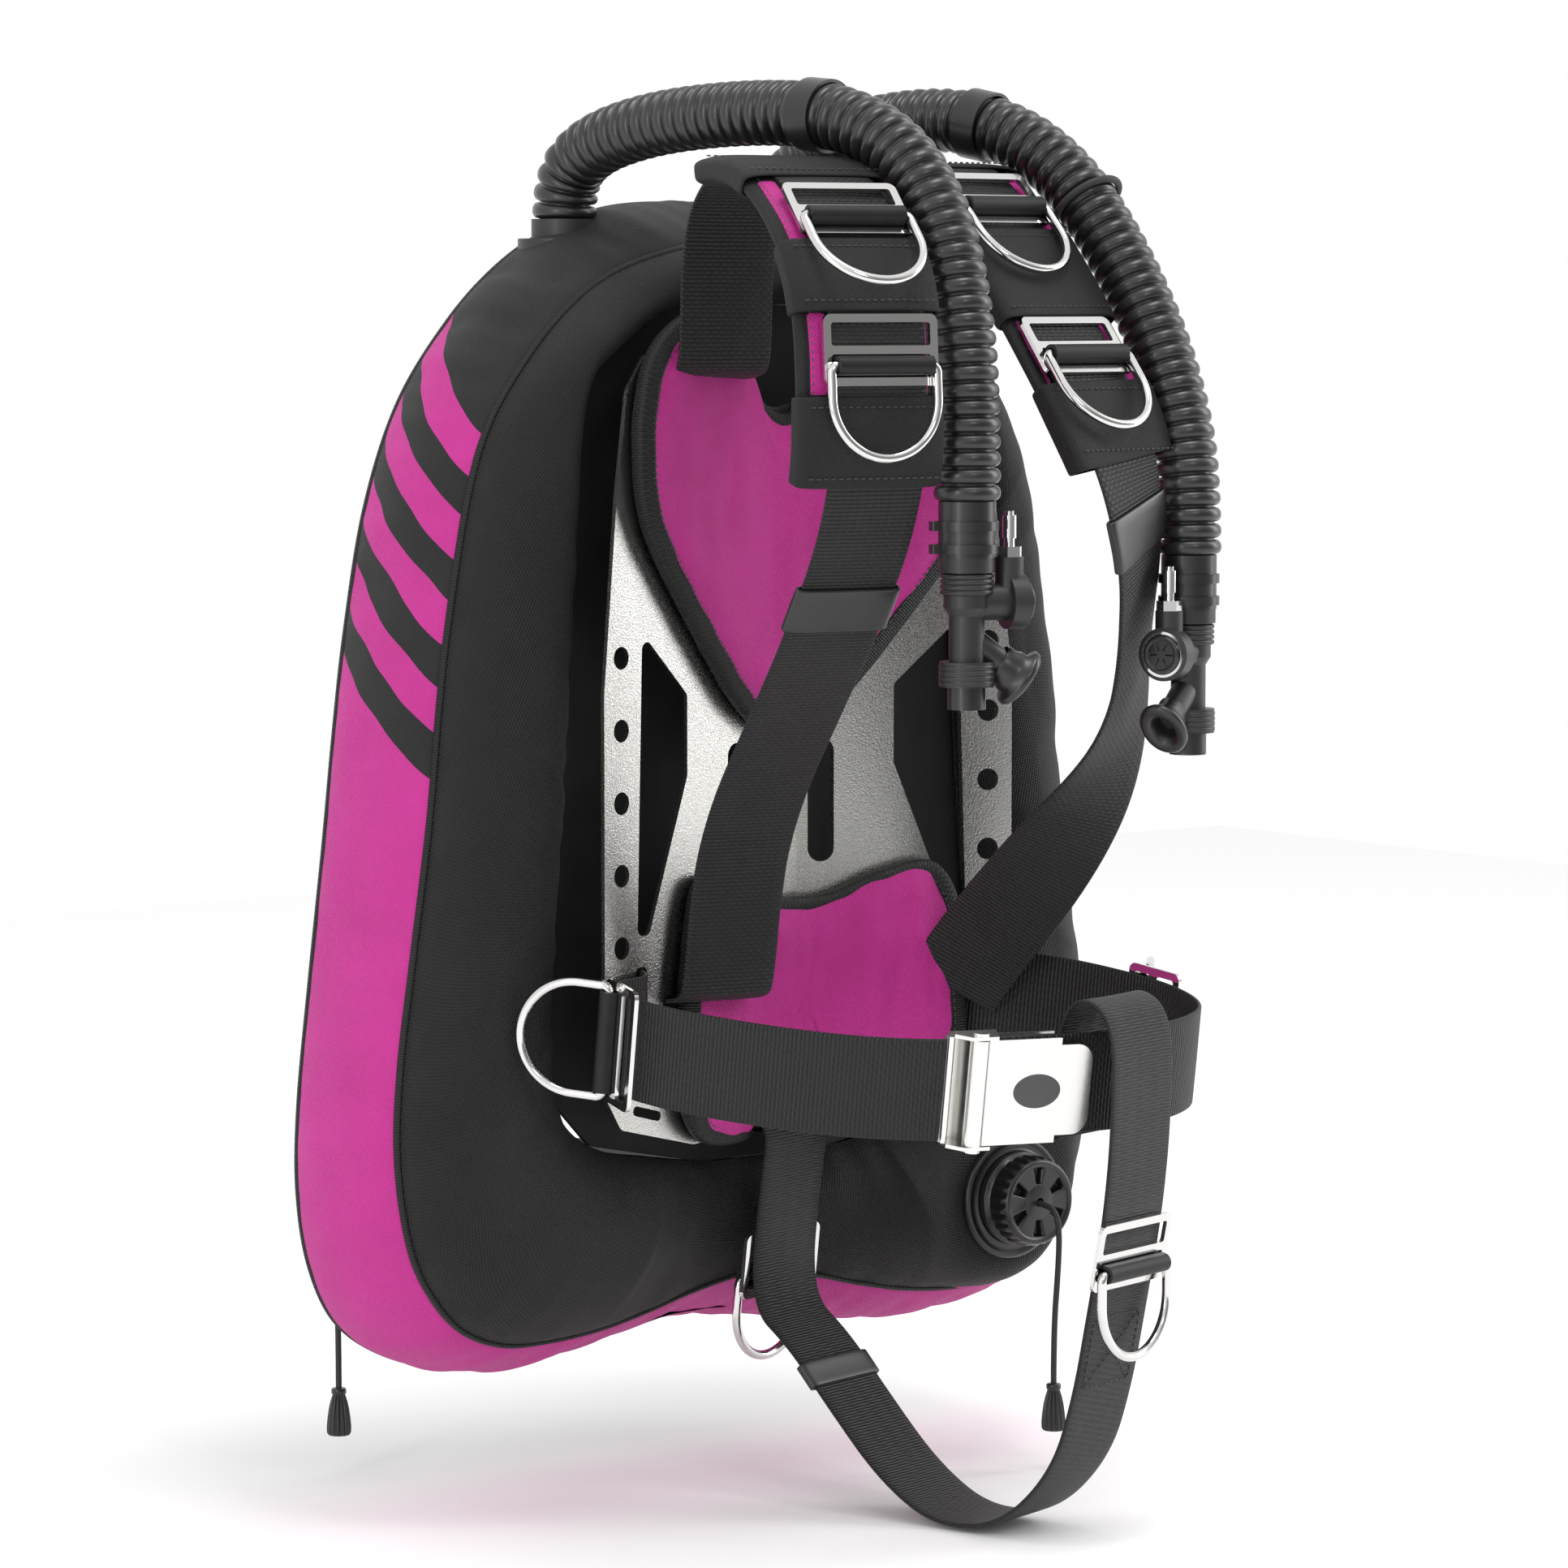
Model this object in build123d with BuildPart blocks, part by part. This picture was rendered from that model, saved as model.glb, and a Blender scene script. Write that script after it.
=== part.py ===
"""Diving buoyancy vest: steel backplate, donut air cell, webbing harness, two inflators, two dump valves.

Millimetres.  +Z is up and -Y is the side that faces the diver.  The origin is midway between the two tank
bolt holes, on the rear face of the backplate's channel.  "left" is -X and "right" is +X.
"""
from build123d import *
import os
from math import cos, pi, radians, sin, tan

os.makedirs("parts", exist_ok=True)

# ---- driving dimensions -------------------------------------------------------------------------------
fit = 0.3                       # clearance between pieces that don't touch
webbing = 50.8                  # width of the shoulder and waist webbing
webbing_thickness = 2.0
crotch_webbing = 50.8           # width of the crotch webbing

plate_thickness = 3.0
plate_half_width = 130.0
channel_half_width = 14.0
wing_bend = 15.9                # degrees that each side of the plate leans forward
plate_top = 208.0
plate_bottom = -192.0
bolt_spacing = 279.4            # tank bolt holes, 11 inches apart
bolt_hole_radius = 5.5
edge_hole_radius = 5.7
edge_hole_pitch = 36.2
edge_hole_count = 7
edge_hole_x = 117.0
top_edge_hole_z = 58.0

cell_front = -12.0              # the air cell's front and rear faces
cell_rear = 124.0
cell_round = 24.0               # roundness of the inflated edge
cell_skin = 1.6
panel_front = 9.0               # flat cloth panel between the plate and the tank
panel_thickness = 3.0

ring_wire = 4.8
slide_thickness = 2.2
hose_diameter = 32.5
cord_diameter = 3.2
valve_radius = 23.0


def save(builder, name):
    """Label one finished piece and write its STEP file."""
    builder.part.label = name
    export_step(builder.part, f"parts/{name}.step")


def mirrored(points):
    """A right-hand outline and its mirror image, as one closed list of points."""
    return points + [(-x, z) for x, z in reversed(points) if x > 0]


# ---- planes that the webbing lies in ------------------------------------------------------------------
def strap_plane(side, start_x, yaw):
    """Upright plane that leaves the plate at start_x; local x runs forward and outward, local y runs up."""
    forward = Vector(side * sin(radians(yaw)), -cos(radians(yaw)), 0)
    return Plane(origin=(side * start_x, 0, 0), x_dir=forward, z_dir=forward.cross(Vector(0, 0, 1)))


left_shoulder = strap_plane(-1, 54.4, 10)
right_shoulder = strap_plane(1, 54.4, 5)
crotch_plane = strap_plane(1, 0, 15)
belt_tilt = 7.5
belt_height = -126.0
belt_pivot_y = -40.0
belt_plane = Plane(origin=(0, belt_pivot_y, belt_height), x_dir=(1, 0, 0),
                   z_dir=(0, -sin(radians(belt_tilt)), cos(radians(belt_tilt))))


def bend_radii(route, largest=1000.0):
    """The arc at each corner of a route: 0.45 of its shorter run, over the tangent of half the turn."""
    radii = []
    for before, here, after in zip(route, route[1:], route[2:]):
        run_in = Vector(*here) - Vector(*before)
        run_out = Vector(*after) - Vector(*here)
        half_turn = radians(run_in.get_angle(run_out)) / 2
        radii.append(min(0.45 * min(run_in.length, run_out.length) / tan(half_turn), largest))
    return radii


def webbing_strip(plane, route, width, thickness=webbing_thickness, radii=None):
    """Flat webbing: a strip along the route in its plane, drawn out to both sides by half the width."""
    with BuildPart() as strip:
        with BuildSketch(plane):
            with BuildLine():
                FilletPolyline(*route, radius=radii or bend_radii(route))
            trace(line_width=thickness)
        extrude(amount=width / 2, both=True)
    return strip


def parallel_route(route, shift):
    """The same route moved sideways by shift, to the left of its direction, and the radii of its bends."""
    runs = [(Vector(*end) - Vector(*start)).normalized() for start, end in zip(route, route[1:])]
    normals = [Vector(-run.Y, run.X) for run in runs]
    points = [Vector(*route[0]) + normals[0] * shift]
    for corner, one, two in zip(route[1:-1], normals, normals[1:]):
        middle = (one + two).normalized()
        points.append(Vector(*corner) + middle * (shift / middle.dot(one)))
    points.append(Vector(*route[-1]) + normals[-1] * shift)
    radii = [radius - shift if one.cross(two).Z > 0 else radius + shift
             for radius, one, two in zip(bend_radii(route), runs, runs[1:])]
    return [(point.X, point.Y) for point in points], radii


def run_frame(plane, route, run, outward, height, share=0.5):
    """Local frame on one straight run of a webbing route: -y runs on along the webbing, z leaves it."""
    start, end = Vector(*route[run]), Vector(*route[run + 1])
    along = (end - start).normalized()
    normal = Vector(-along.Y, along.X) * outward
    point = start + (end - start) * share + normal * height
    hang = plane.x_dir * along.X + plane.y_dir * along.Y
    leave = plane.x_dir * normal.X + plane.y_dir * normal.Y
    return Plane(origin=plane.from_local_coords(point), x_dir=(hang * -1).cross(leave), z_dir=leave)


# ---- backplate ----------------------------------------------------------------------------------------
def bent_section(rear, thickness, half_width):
    """The plate's bent section in plan: flat across the channel, leaning forward on both sides."""
    lean = (half_width - channel_half_width) * tan(radians(wing_bend))
    back = [(-half_width, rear - lean), (-channel_half_width, rear),
            (channel_half_width, rear), (half_width, rear - lean)]
    return back + [(x, y - thickness) for x, y in reversed(back)]


shoulder_slot = (57.0, 196.0)       # centres of the webbing slots in the right half of the plate
return_slot = (57.0, -118.0)
waist_slot = (102.0, belt_height)
crotch_slot_z = -180.0
slot_gap = 7.0
waist_slot_gap = 9.0
crotch_slot_gap = 9.5           # the crotch webbing turns a little in its slot
pad_screws = (110.0, 50.0, -100.0, -162.0)     # heights of the screws that hold the back pads
screw_radius = 3.0
plate_outline = [(0, 180), (22, 184), (40, plate_top), (98, plate_top), (112, 190), (120, 138),
                 (plate_half_width, 40), (plate_half_width, -160), (118, -178), (62, plate_bottom)]
side_opening = [(101, 70), (66, 37), (66, -4), (96, -82), (105, -82)]

with BuildPart() as backplate:
    with BuildSketch(Plane.XY.offset(plate_bottom - 5)):
        Polygon(*bent_section(0, plate_thickness, plate_half_width + 5), align=None)
    extrude(amount=plate_top - plate_bottom + 10)
    with BuildSketch(Plane.XZ) as outline:
        Polygon(*mirrored(plate_outline)[1:], (0, 180), align=None)
        fillet(outline.vertices(), radius=7)
    extrude(amount=90, both=True, mode=Mode.INTERSECT)
    for side in (-1, 1):
        with BuildSketch(Plane.XZ) as openings:
            Polygon(*[(side * x, z) for x, z in side_opening], align=None)
            fillet(openings.vertices(), radius=4)
        extrude(amount=90, both=True, mode=Mode.SUBTRACT)
        with BuildSketch(Plane.XZ):
            for x, z in (shoulder_slot, return_slot):
                with Locations((side * x, z)):
                    RectangleRounded(webbing + 6, slot_gap, slot_gap / 2 - 0.1)
            with Locations((side * waist_slot[0], waist_slot[1])):
                RectangleRounded(waist_slot_gap, webbing + 6, slot_gap / 2 - 0.1)
            with Locations((side * 27, -22)):
                SlotOverall(64, 14, rotation=90)
            with Locations((side * 98, -172)):
                SlotOverall(22, 5, rotation=side * 15)
            for row in range(edge_hole_count):
                with Locations((side * edge_hole_x, top_edge_hole_z - row * edge_hole_pitch)):
                    Circle(edge_hole_radius)
        extrude(amount=90, both=True, mode=Mode.SUBTRACT)
    with BuildSketch(Plane.XZ):
        with Locations((0, bolt_spacing / 2), (0, -bolt_spacing / 2)):
            Circle(bolt_hole_radius)
        with Locations(*[(0, z) for z in pad_screws]):
            Circle(screw_radius + fit)
        with Locations((0, crotch_slot_z)):
            RectangleRounded(crotch_webbing + 6, crotch_slot_gap, slot_gap / 2 - 0.1)
    extrude(amount=90, both=True, mode=Mode.SUBTRACT)
save(backplate, "backplate")


# ---- air cell -----------------------------------------------------------------------------------------
cell_corner = 38.0              # rounding of the cell's outline at each of its points
cell_outline = [(30, 288), (100, 256), (160, 202), (188, 120), (203, 20), (228, -140), (226, -262),
                (150, -318), (40, -298)]
cell_opening = [(56, 232), (118, 190), (124, 40), (133, -100), (133, -165), (108, -192), (40, -206)]
channel_half = 34.0             # channel under the plate that the crotch webbing hangs in
channel_depth = 26.0
elbow_flange = 24.0             # hose elbows: flange radius, heights and places on top of the cell
elbow_base, elbow_shoulder, elbow_top = 246.0, 266.0, 276.0
elbow_places = [(-73, 79), (73, 82)]


def cell_ring(inset):
    """The inflated donut, drawn in by inset all round, with a channel down its front at the bottom."""
    with BuildPart() as ring:
        with BuildSketch(Plane.XZ.offset(-(cell_rear - inset))) as face:
            Polygon(*mirrored(cell_outline), align=None)
            fillet(face.vertices(), radius=cell_corner)
            if inset:
                offset(amount=-inset)
        extrude(amount=cell_rear - cell_front - 2 * inset)
        rims = ring.edges().filter_by(lambda e: abs(e.center().Y - (cell_front + inset)) < 0.5
                                      or abs(e.center().Y - (cell_rear - inset)) < 0.5)
        chamfer(rims, length=cell_round)
        with BuildSketch(Plane.XZ) as hole:
            Polygon(*mirrored(cell_opening), align=None)
            fillet(hole.vertices(), radius=10)
            if inset:
                offset(amount=inset)
        extrude(amount=200, both=True, mode=Mode.SUBTRACT)
        with BuildSketch(Plane.XZ.offset(-(cell_front + channel_depth + inset))):
            with Locations((0, -270)):
                Rectangle(2 * (channel_half + inset), 200)
        extrude(amount=200, mode=Mode.SUBTRACT)
        with BuildSketch(Plane.XY.offset(elbow_base - inset)):
            with Locations(*elbow_places):
                Circle(elbow_flange + fit + inset)
        extrude(amount=100, mode=Mode.SUBTRACT)
    return ring


with BuildPart() as wing_shell:
    add(cell_ring(0).part)
    add(cell_ring(cell_skin).part, mode=Mode.SUBTRACT)
save(wing_shell, "wing_shell")

bladder_inset = cell_skin + 1.0
bladder_wall = 0.8
bladder_split = (cell_front + cell_rear) / 2
bag_outside = cell_ring(bladder_inset).part
bag_inside = cell_ring(bladder_inset + bladder_wall).part


def between(solid, low, high):
    """The part of a solid that lies between two depths."""
    with BuildPart() as slab:
        add(solid)
        with BuildSketch(Plane.XZ.offset(-high)):
            Rectangle(700, 900)
        extrude(amount=high - low, mode=Mode.INTERSECT)
    return slab.part


for name, low, high in (("bladder_primary", cell_front, bladder_split - fit),
                        ("bladder_backup", bladder_split + fit, cell_rear)):
    with BuildPart() as bladder:
        add(between(bag_outside, low, high))
        add(between(bag_inside, low + bladder_wall, high - bladder_wall), mode=Mode.SUBTRACT)
    save(bladder, name)

grommet_bore = 6.0
grommet_wall = 1.0
with BuildPart() as wing_centre_panel:
    with BuildSketch(Plane.XZ.offset(-(panel_front + panel_thickness))) as face:
        Polygon(*mirrored(cell_opening), align=None)
        fillet(face.vertices(), radius=10)
        with Locations((0, bolt_spacing / 2), (0, -bolt_spacing / 2)):
            Circle(grommet_bore + grommet_wall + fit, mode=Mode.SUBTRACT)
    extrude(amount=panel_thickness)
save(wing_centre_panel, "wing_centre_panel")

with BuildPart() as wing_grommets:
    for z in (bolt_spacing / 2, -bolt_spacing / 2):
        for start, radius, length in ((panel_front - 0.8, 11, 0.8),
                                      (panel_front, grommet_bore + grommet_wall, panel_thickness),
                                      (panel_front + panel_thickness, 11, 0.8)):
            with BuildSketch(Plane.XZ.offset(-start - length)):
                with Locations((0, z)):
                    Circle(radius)
                    Circle(grommet_bore, mode=Mode.SUBTRACT)
            extrude(amount=length)
save(wing_grommets, "wing_grommets")


# ---- back pads ----------------------------------------------------------------------------------------
pad_gap = 1.0
pad_thickness = 11.0
upper_pad_outline = [(16, 184), (28, 206), (42, 224), (68, 229), (96, 214), (107, 190), (110, 158),
                     (103, 122), (74, 80), (24, 26)]
lumbar_outline = [(-62, -57), (-25, -70), (20, -72), (55, -60), (83, -57), (97, -84), (97, -150),
                  (74, -185), (20, -192), (-20, -192), (-58, -190), (-74, -172), (-74, -100)]
strap_window = (webbing + 14, slot_gap + 6)


def back_pad(outline, window_z, rounding):
    """Cloth pad that follows the bent plate, with windows for the shoulder webbing."""
    with BuildPart() as pad:
        with BuildSketch(Plane.XY.offset(plate_bottom - 20)):
            Polygon(*bent_section(-plate_thickness - pad_gap, pad_thickness, plate_half_width), align=None)
        extrude(amount=plate_top - plate_bottom + 60)
        with BuildSketch(Plane.XZ) as face:
            Polygon(*outline, align=None)
            fillet(face.vertices(), radius=rounding)
            with Locations((0, bolt_spacing / 2), (0, -bolt_spacing / 2)):
                Circle(9, mode=Mode.SUBTRACT)
            with Locations(*[(0, z) for z in pad_screws]):
                Circle(screw_radius + fit, mode=Mode.SUBTRACT)
            with Locations((-shoulder_slot[0] - 1, window_z), (shoulder_slot[0] + 1, window_z)):
                Rectangle(*strap_window, mode=Mode.SUBTRACT)
            with Locations((0, crotch_slot_z - 8)):
                Rectangle(crotch_webbing + 18, 30, mode=Mode.SUBTRACT)
        extrude(amount=90, both=True, mode=Mode.INTERSECT)
    return pad


save(back_pad(mirrored(upper_pad_outline), shoulder_slot[1] + 1, 5), "upper_back_pad")
save(back_pad(lumbar_outline, return_slot[1] + 1, 6), "lumbar_pad")

screw_head = 7.0
screw_head_thickness = 1.5
pad_face = -plate_thickness - pad_gap - pad_thickness
with BuildPart() as pad_fasteners:
    for z in pad_screws:
        for low, high, radius in ((0, screw_head_thickness, screw_head), (pad_face, 0, screw_radius),
                                  (pad_face - screw_head_thickness, pad_face, screw_head)):
            with BuildSketch(Plane.XZ.offset(-high)):
                with Locations((0, z)):
                    Circle(radius)
            extrude(amount=high - low)
save(pad_fasteners, "pad_fasteners")


# ---- shoulder straps ----------------------------------------------------------------------------------
left_route = [(-3, 186), (-3, 195.5), (32, 197), (44, 200), (47, 214), (48, 250), (58, 282), (90, 302),
              (130, 303), (166, 286), (196, 256), (207, 226), (210, 182), (209, 152), (190, 112), (150, 62),
              (98, 8), (68, -32), (56, -70), (50, -104), (44, -116.5), (-3, -118), (-3, -127)]
right_route = [(-3, 186), (-3, 195.5), (30, 197), (41, 200), (43, 214), (43, 250), (48, 288), (68, 305),
               (92, 292), (118, 264), (148, 226), (180, 184), (198, 148), (196, 110), (182, 68), (165, 26),
               (140, -14), (103, -52), (70, -84), (58, -100), (44, -116.5), (-3, -118), (-3, -127)]
shoulder_pad_width = 64.0
shoulder_pad_thickness = 9.0
pad_first, pad_last = 4, 12         # the pads run from the middle of one run of the route to another's
pad_drop = webbing_thickness / 2 + fit + shoulder_pad_thickness / 2


def midpoint(start, end):
    """The point halfway between two points of a route."""
    return ((start[0] + end[0]) / 2, (start[1] + end[1]) / 2)


for name, plane, route in (("left", left_shoulder, left_route), ("right", right_shoulder, right_route)):
    save(webbing_strip(plane, route, webbing), f"shoulder_strap_{name}")
    under, under_radii = parallel_route(route, -pad_drop)
    under = ([midpoint(*under[pad_first:pad_first + 2])] + under[pad_first + 1:pad_last]
             + [midpoint(*under[pad_last - 1:pad_last + 1])])
    save(webbing_strip(plane, under, shoulder_pad_width, shoulder_pad_thickness,
                       under_radii[pad_first:pad_last - 1]), f"shoulder_pad_{name}")


# ---- waist belt ---------------------------------------------------------------------------------------
buckle_turn = -10.0
buckle_plane = Plane(origin=belt_plane.from_local_coords(Vector(-26, -156, 0)),
                     x_dir=belt_plane.x_dir * cos(radians(buckle_turn))
                     + belt_plane.y_dir * sin(radians(buckle_turn)), z_dir=belt_plane.z_dir)


def on_belt(x):
    """A point on the buckle's centre line, in the belt's own plane."""
    return (-26 + x * cos(radians(buckle_turn)), -156 + x * sin(radians(buckle_turn)))


belt_side = plate_half_width + 13.0         # the belt passes this far out, clear of the plate's edges
plate_reach = (plate_half_width - channel_half_width) * tan(radians(wing_bend)) + plate_thickness
belt_turn = -belt_pivot_y - plate_reach - 5.0   # where it turns forward, just in front of those edges
left_waist_route = [(-84, 27), (-101, 23), (-104, 3), (-belt_side + 7, belt_turn), (-belt_side, belt_turn - 37),
                    (-belt_side + 21, -88), (-74, -142), on_belt(-15)]
right_waist_route = [(84, 27), (101, 23), (104, 4), (belt_side - 15, -20), (belt_side + 2, -56),
                     (belt_side + 8, -98), (belt_side - 3, -136), (114, -156), (78, -166), on_belt(68),
                     on_belt(4)]
save(webbing_strip(belt_plane, left_waist_route, webbing), "waist_strap_left")
save(webbing_strip(belt_plane, right_waist_route, webbing), "waist_strap_right")


# ---- crotch strap -------------------------------------------------------------------------------------
crotch_route = [(1, -180), (19, -182), (13, -216), (6, -280), (31, -298), (58, -328), (90, -360),
                (124, -379), (164, -374), (196, -342), (209, -302), (217, -262), (226, -216), (231, -168),
                (231, -108), (195, -106), (196, -176)]
save(webbing_strip(crotch_plane, crotch_route, crotch_webbing), "crotch_strap")


# ---- D-rings, slides and the webbing loops that hold them ---------------------------------------------
bar_height = webbing_thickness / 2 + fit + slide_thickness + fit + ring_wire / 2   # bar above the strap
window_height = 11.0
slide_bar = 4.0
ring_corner = 3.6
ring_leg = 12.0
loop_clearance = 0.35


def d_ring(name, frame, width, lift=0.0):
    """Bent wire ring: straight bar, two short legs and a half circle, lifted by an angle off the strap."""
    half = width / 2 + fit + ring_wire / 2
    hung = Plane(frame.origin, x_dir=frame.x_dir,
                 z_dir=frame.z_dir * cos(radians(lift)) + frame.y_dir * sin(radians(lift)))
    with BuildPart() as ring:
        with BuildLine(hung) as path:
            bar = Line((-half + ring_corner, 0), (half - ring_corner, 0))
            turn = JernArc(start=bar @ 1, tangent=bar % 1, radius=ring_corner, arc_size=-90)
            leg = Line(turn @ 1, turn @ 1 + (0, -ring_leg))
            bow = JernArc(start=leg @ 1, tangent=leg % 1, radius=half, arc_size=-180)
            back = Line(bow @ 1, bow @ 1 + (0, ring_leg))
            JernArc(start=back @ 1, tangent=back % 1, radius=ring_corner, arc_size=-90)
        with BuildSketch(Plane(origin=hung.origin, z_dir=hung.x_dir)):
            Circle(ring_wire / 2)
        sweep(path=Wire(path.edges()))
    save(ring, name)


def slide(frame, width):
    """Flat steel slide with two windows, lying on the webbing under the ring's bar."""
    pitch = window_height + slide_bar
    with BuildPart() as plate:
        with BuildSketch(frame.offset(-ring_wire / 2 - fit - slide_thickness)):
            with Locations((0, pitch / 2)):
                RectangleRounded(width + 2 * slide_bar + 2, 2 * pitch + slide_bar, 4)
            with Locations((0, 0), (0, pitch)):
                RectangleRounded(width + 2, window_height, 1.5, mode=Mode.SUBTRACT)
        extrude(amount=slide_thickness)
    return plate.part


def webbing_loop(frame, width):
    """Tab of webbing that arches over the ring's bar and comes down through the slide's window."""
    inner = ring_wire / 2 + loop_clearance
    outer = inner + webbing_thickness - 0.2
    foot = bar_height - webbing_thickness / 2
    with BuildPart() as tab:
        with BuildSketch(Plane(frame.origin, x_dir=frame.y_dir, z_dir=frame.x_dir)):
            Circle(outer)
            with Locations((0, -foot / 2)):
                Rectangle(2 * outer, foot)
            Circle(inner, mode=Mode.SUBTRACT)
            with Locations((0, -foot / 2)):
                Rectangle(2 * inner, foot, mode=Mode.SUBTRACT)
            with Locations((0, -foot - outer)):
                Rectangle(2 * outer, 2 * outer, mode=Mode.SUBTRACT)
        extrude(amount=width / 2, both=True)
    return tab.part


ring_sites = {
    "shoulder_left_upper": (run_frame(left_shoulder, left_route, 9, 1, bar_height), webbing, 0),
    "shoulder_left_lower": (run_frame(left_shoulder, left_route, 11, 1, bar_height), webbing, 0),
    "shoulder_right_upper": (run_frame(right_shoulder, right_route, 8, 1, bar_height), webbing, 0),
    "shoulder_right_lower": (run_frame(right_shoulder, right_route, 10, 1, bar_height), webbing, 0),
    "hip_left": (run_frame(belt_plane, left_waist_route[4:2:-1], 0, 1, bar_height), webbing, 50),
    "hip_right": (run_frame(belt_plane, right_waist_route[5:3:-1], 0, -1, bar_height), webbing, 50),
    "crotch_rear": (run_frame(crotch_plane, crotch_route, 2, -1, bar_height, 0.8), crotch_webbing, 0),
    "crotch_front": (run_frame(crotch_plane, crotch_route[::-1], 4, 1, bar_height), crotch_webbing, 11),
}
for site, (frame, width, lift) in ring_sites.items():
    d_ring(f"d_ring_{site}", frame, width, lift)
with BuildPart() as webbing_slides:
    for frame, width, _ in ring_sites.values():
        add(slide(frame, width))
save(webbing_slides, "webbing_slides")
with BuildPart() as ring_loops:
    for frame, width, _ in ring_sites.values():
        add(webbing_loop(frame, width))
save(ring_loops, "ring_loops")


# ---- rubber keepers -----------------------------------------------------------------------------------
keeper_wall = 2.0
keeper_gap = 1.3                # room that the bent webbing needs inside a keeper
keeper_length = 12.0
with BuildPart() as strap_keepers:
    for plane, route, run, width, shares in (
            (left_shoulder, left_route, 14, webbing, (0.4, 0.6)),
            (right_shoulder, right_route, 12, webbing, (0.33, 0.67)),
            (crotch_plane, crotch_route, 4, crotch_webbing, (0.5,))):
        for share in shares:
            frame = run_frame(plane, route, run, 1, 0, share)
            with BuildSketch(Plane(frame.origin - frame.y_dir * (keeper_length / 2),
                                   x_dir=frame.x_dir, z_dir=frame.y_dir)):
                bore = (width + 2 * fit, webbing_thickness + 2 * keeper_gap)
                Rectangle(bore[0] + 2 * keeper_wall, bore[1] + 2 * keeper_wall)
                Rectangle(*bore, mode=Mode.SUBTRACT)
            extrude(amount=keeper_length)
save(strap_keepers, "strap_keepers")


# ---- belt buckle --------------------------------------------------------------------------------------
buckle_pin_radius = 2.6
buckle_pin_rise = 7.5           # pin's centre above the middle of the webbing
cheek_inner = webbing / 2 + 1.2
cheek_thickness = 1.8
base_thickness = 1.6
cam_thickness = 1.8
cam_length = 62.0
knuckle_radius = 4.9
badge_size = (13.0, 8.5)         # half axes
badge_depth = 1.0
base_rear = webbing_thickness / 2 + fit + base_thickness

with BuildPart() as buckle_frame:
    for low, high in ((-cheek_inner - cheek_thickness, -cheek_inner),
                      (cheek_inner, cheek_inner + cheek_thickness)):
        with BuildSketch(buckle_plane.offset(low)):
            with BuildLine():
                Polyline((-12, base_rear), (14, base_rear), (8, -buckle_pin_rise - 4),
                         (-6, -buckle_pin_rise - 4), (-12, base_rear - 6), close=True)
            make_face()
            with Locations((0, -buckle_pin_rise)):
                Circle(buckle_pin_radius, mode=Mode.SUBTRACT)
        extrude(amount=high - low)
    with BuildSketch(buckle_plane.offset(-cheek_inner)):
        with Locations((16, base_rear - base_thickness / 2)):
            Rectangle(60, base_thickness)
        with Locations((-12, base_rear - 3)):
            Circle(1.8)
    extrude(amount=2 * cheek_inner)
save(buckle_frame, "buckle_frame")

with BuildPart() as buckle_pin:
    pin_end = cheek_inner + cheek_thickness
    for low, high, radius in ((-pin_end - 1.5, -pin_end, 4.0), (-pin_end, pin_end, buckle_pin_radius),
                              (pin_end, pin_end + 1.5, 4.0)):
        with BuildSketch(buckle_plane.offset(low)):
            with Locations((0, -buckle_pin_rise)):
                Circle(radius)
        extrude(amount=high - low)
save(buckle_pin, "buckle_pin")

cam_half = cheek_inner - fit
cam_tip_half = cam_half - 3.6
cam_step = 44.0                 # where the plate narrows to its rounded tip
cam_tip_rounding = 9.0
cam_face = -buckle_pin_rise - 1.2
badge_x = 32.0
cam_front = Plane(origin=buckle_plane.from_local_coords(Vector(0, cam_face - cam_thickness, 0)),
                  x_dir=buckle_plane.x_dir, z_dir=buckle_plane.y_dir * -1)
with BuildPart() as buckle_plate:
    with BuildSketch(buckle_plane.offset(-cam_half)):
        with Locations((0, -buckle_pin_rise)):
            Circle(knuckle_radius)
    extrude(amount=2 * cam_half)
    with BuildSketch(cam_front) as face:
        Polygon((0, -cam_half), (cam_step, -cam_half), (cam_step, -cam_tip_half),
                (cam_length, -cam_tip_half), (cam_length, cam_tip_half), (cam_step, cam_tip_half),
                (cam_step, cam_half), (0, cam_half), align=None)
        fillet(face.vertices().sort_by(Axis.X)[-2:], radius=cam_tip_rounding)
    extrude(amount=-cam_thickness)
    with BuildSketch(buckle_plane.offset(-cam_half)):
        with Locations((0, -buckle_pin_rise)):
            Circle(buckle_pin_radius + fit / 2)
    extrude(amount=2 * cam_half, mode=Mode.SUBTRACT)
    with BuildSketch(cam_front):
        with Locations((badge_x, 0)):
            Ellipse(*badge_size)
    extrude(amount=-badge_depth, mode=Mode.SUBTRACT)
save(buckle_plate, "buckle_plate")

with BuildPart() as buckle_badge:
    with BuildSketch(cam_front.offset(-badge_depth)):
        with Locations((badge_x, 0)):
            Ellipse(*badge_size)
    extrude(amount=badge_depth + 0.3)
save(buckle_badge, "buckle_badge")


# ---- hoses --------------------------------------------------------------------------------------------
left_hose_route = [(*elbow_places[0], elbow_top), (*elbow_places[0], 296), (-70, 60, 313),
                   (-64, 18, 323), (-57, -34, 327), (-50, -80, 327), (-42, -122, 323), (-35, -157, 304),
                   (-33, -183, 270), (-34, -197, 228), (-34, -202, 182), (-34, -202, 139)]
right_hose_route = [(*elbow_places[1], elbow_top), (*elbow_places[1], 296), (77, 62, 315),
                    (88, 22, 326), (99, -22, 328), (110, -60, 320), (118, -93, 299), (123, -120, 268),
                    (126, -146, 230), (127, -166, 192), (127, -179, 150), (127, -179, 108)]


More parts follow.
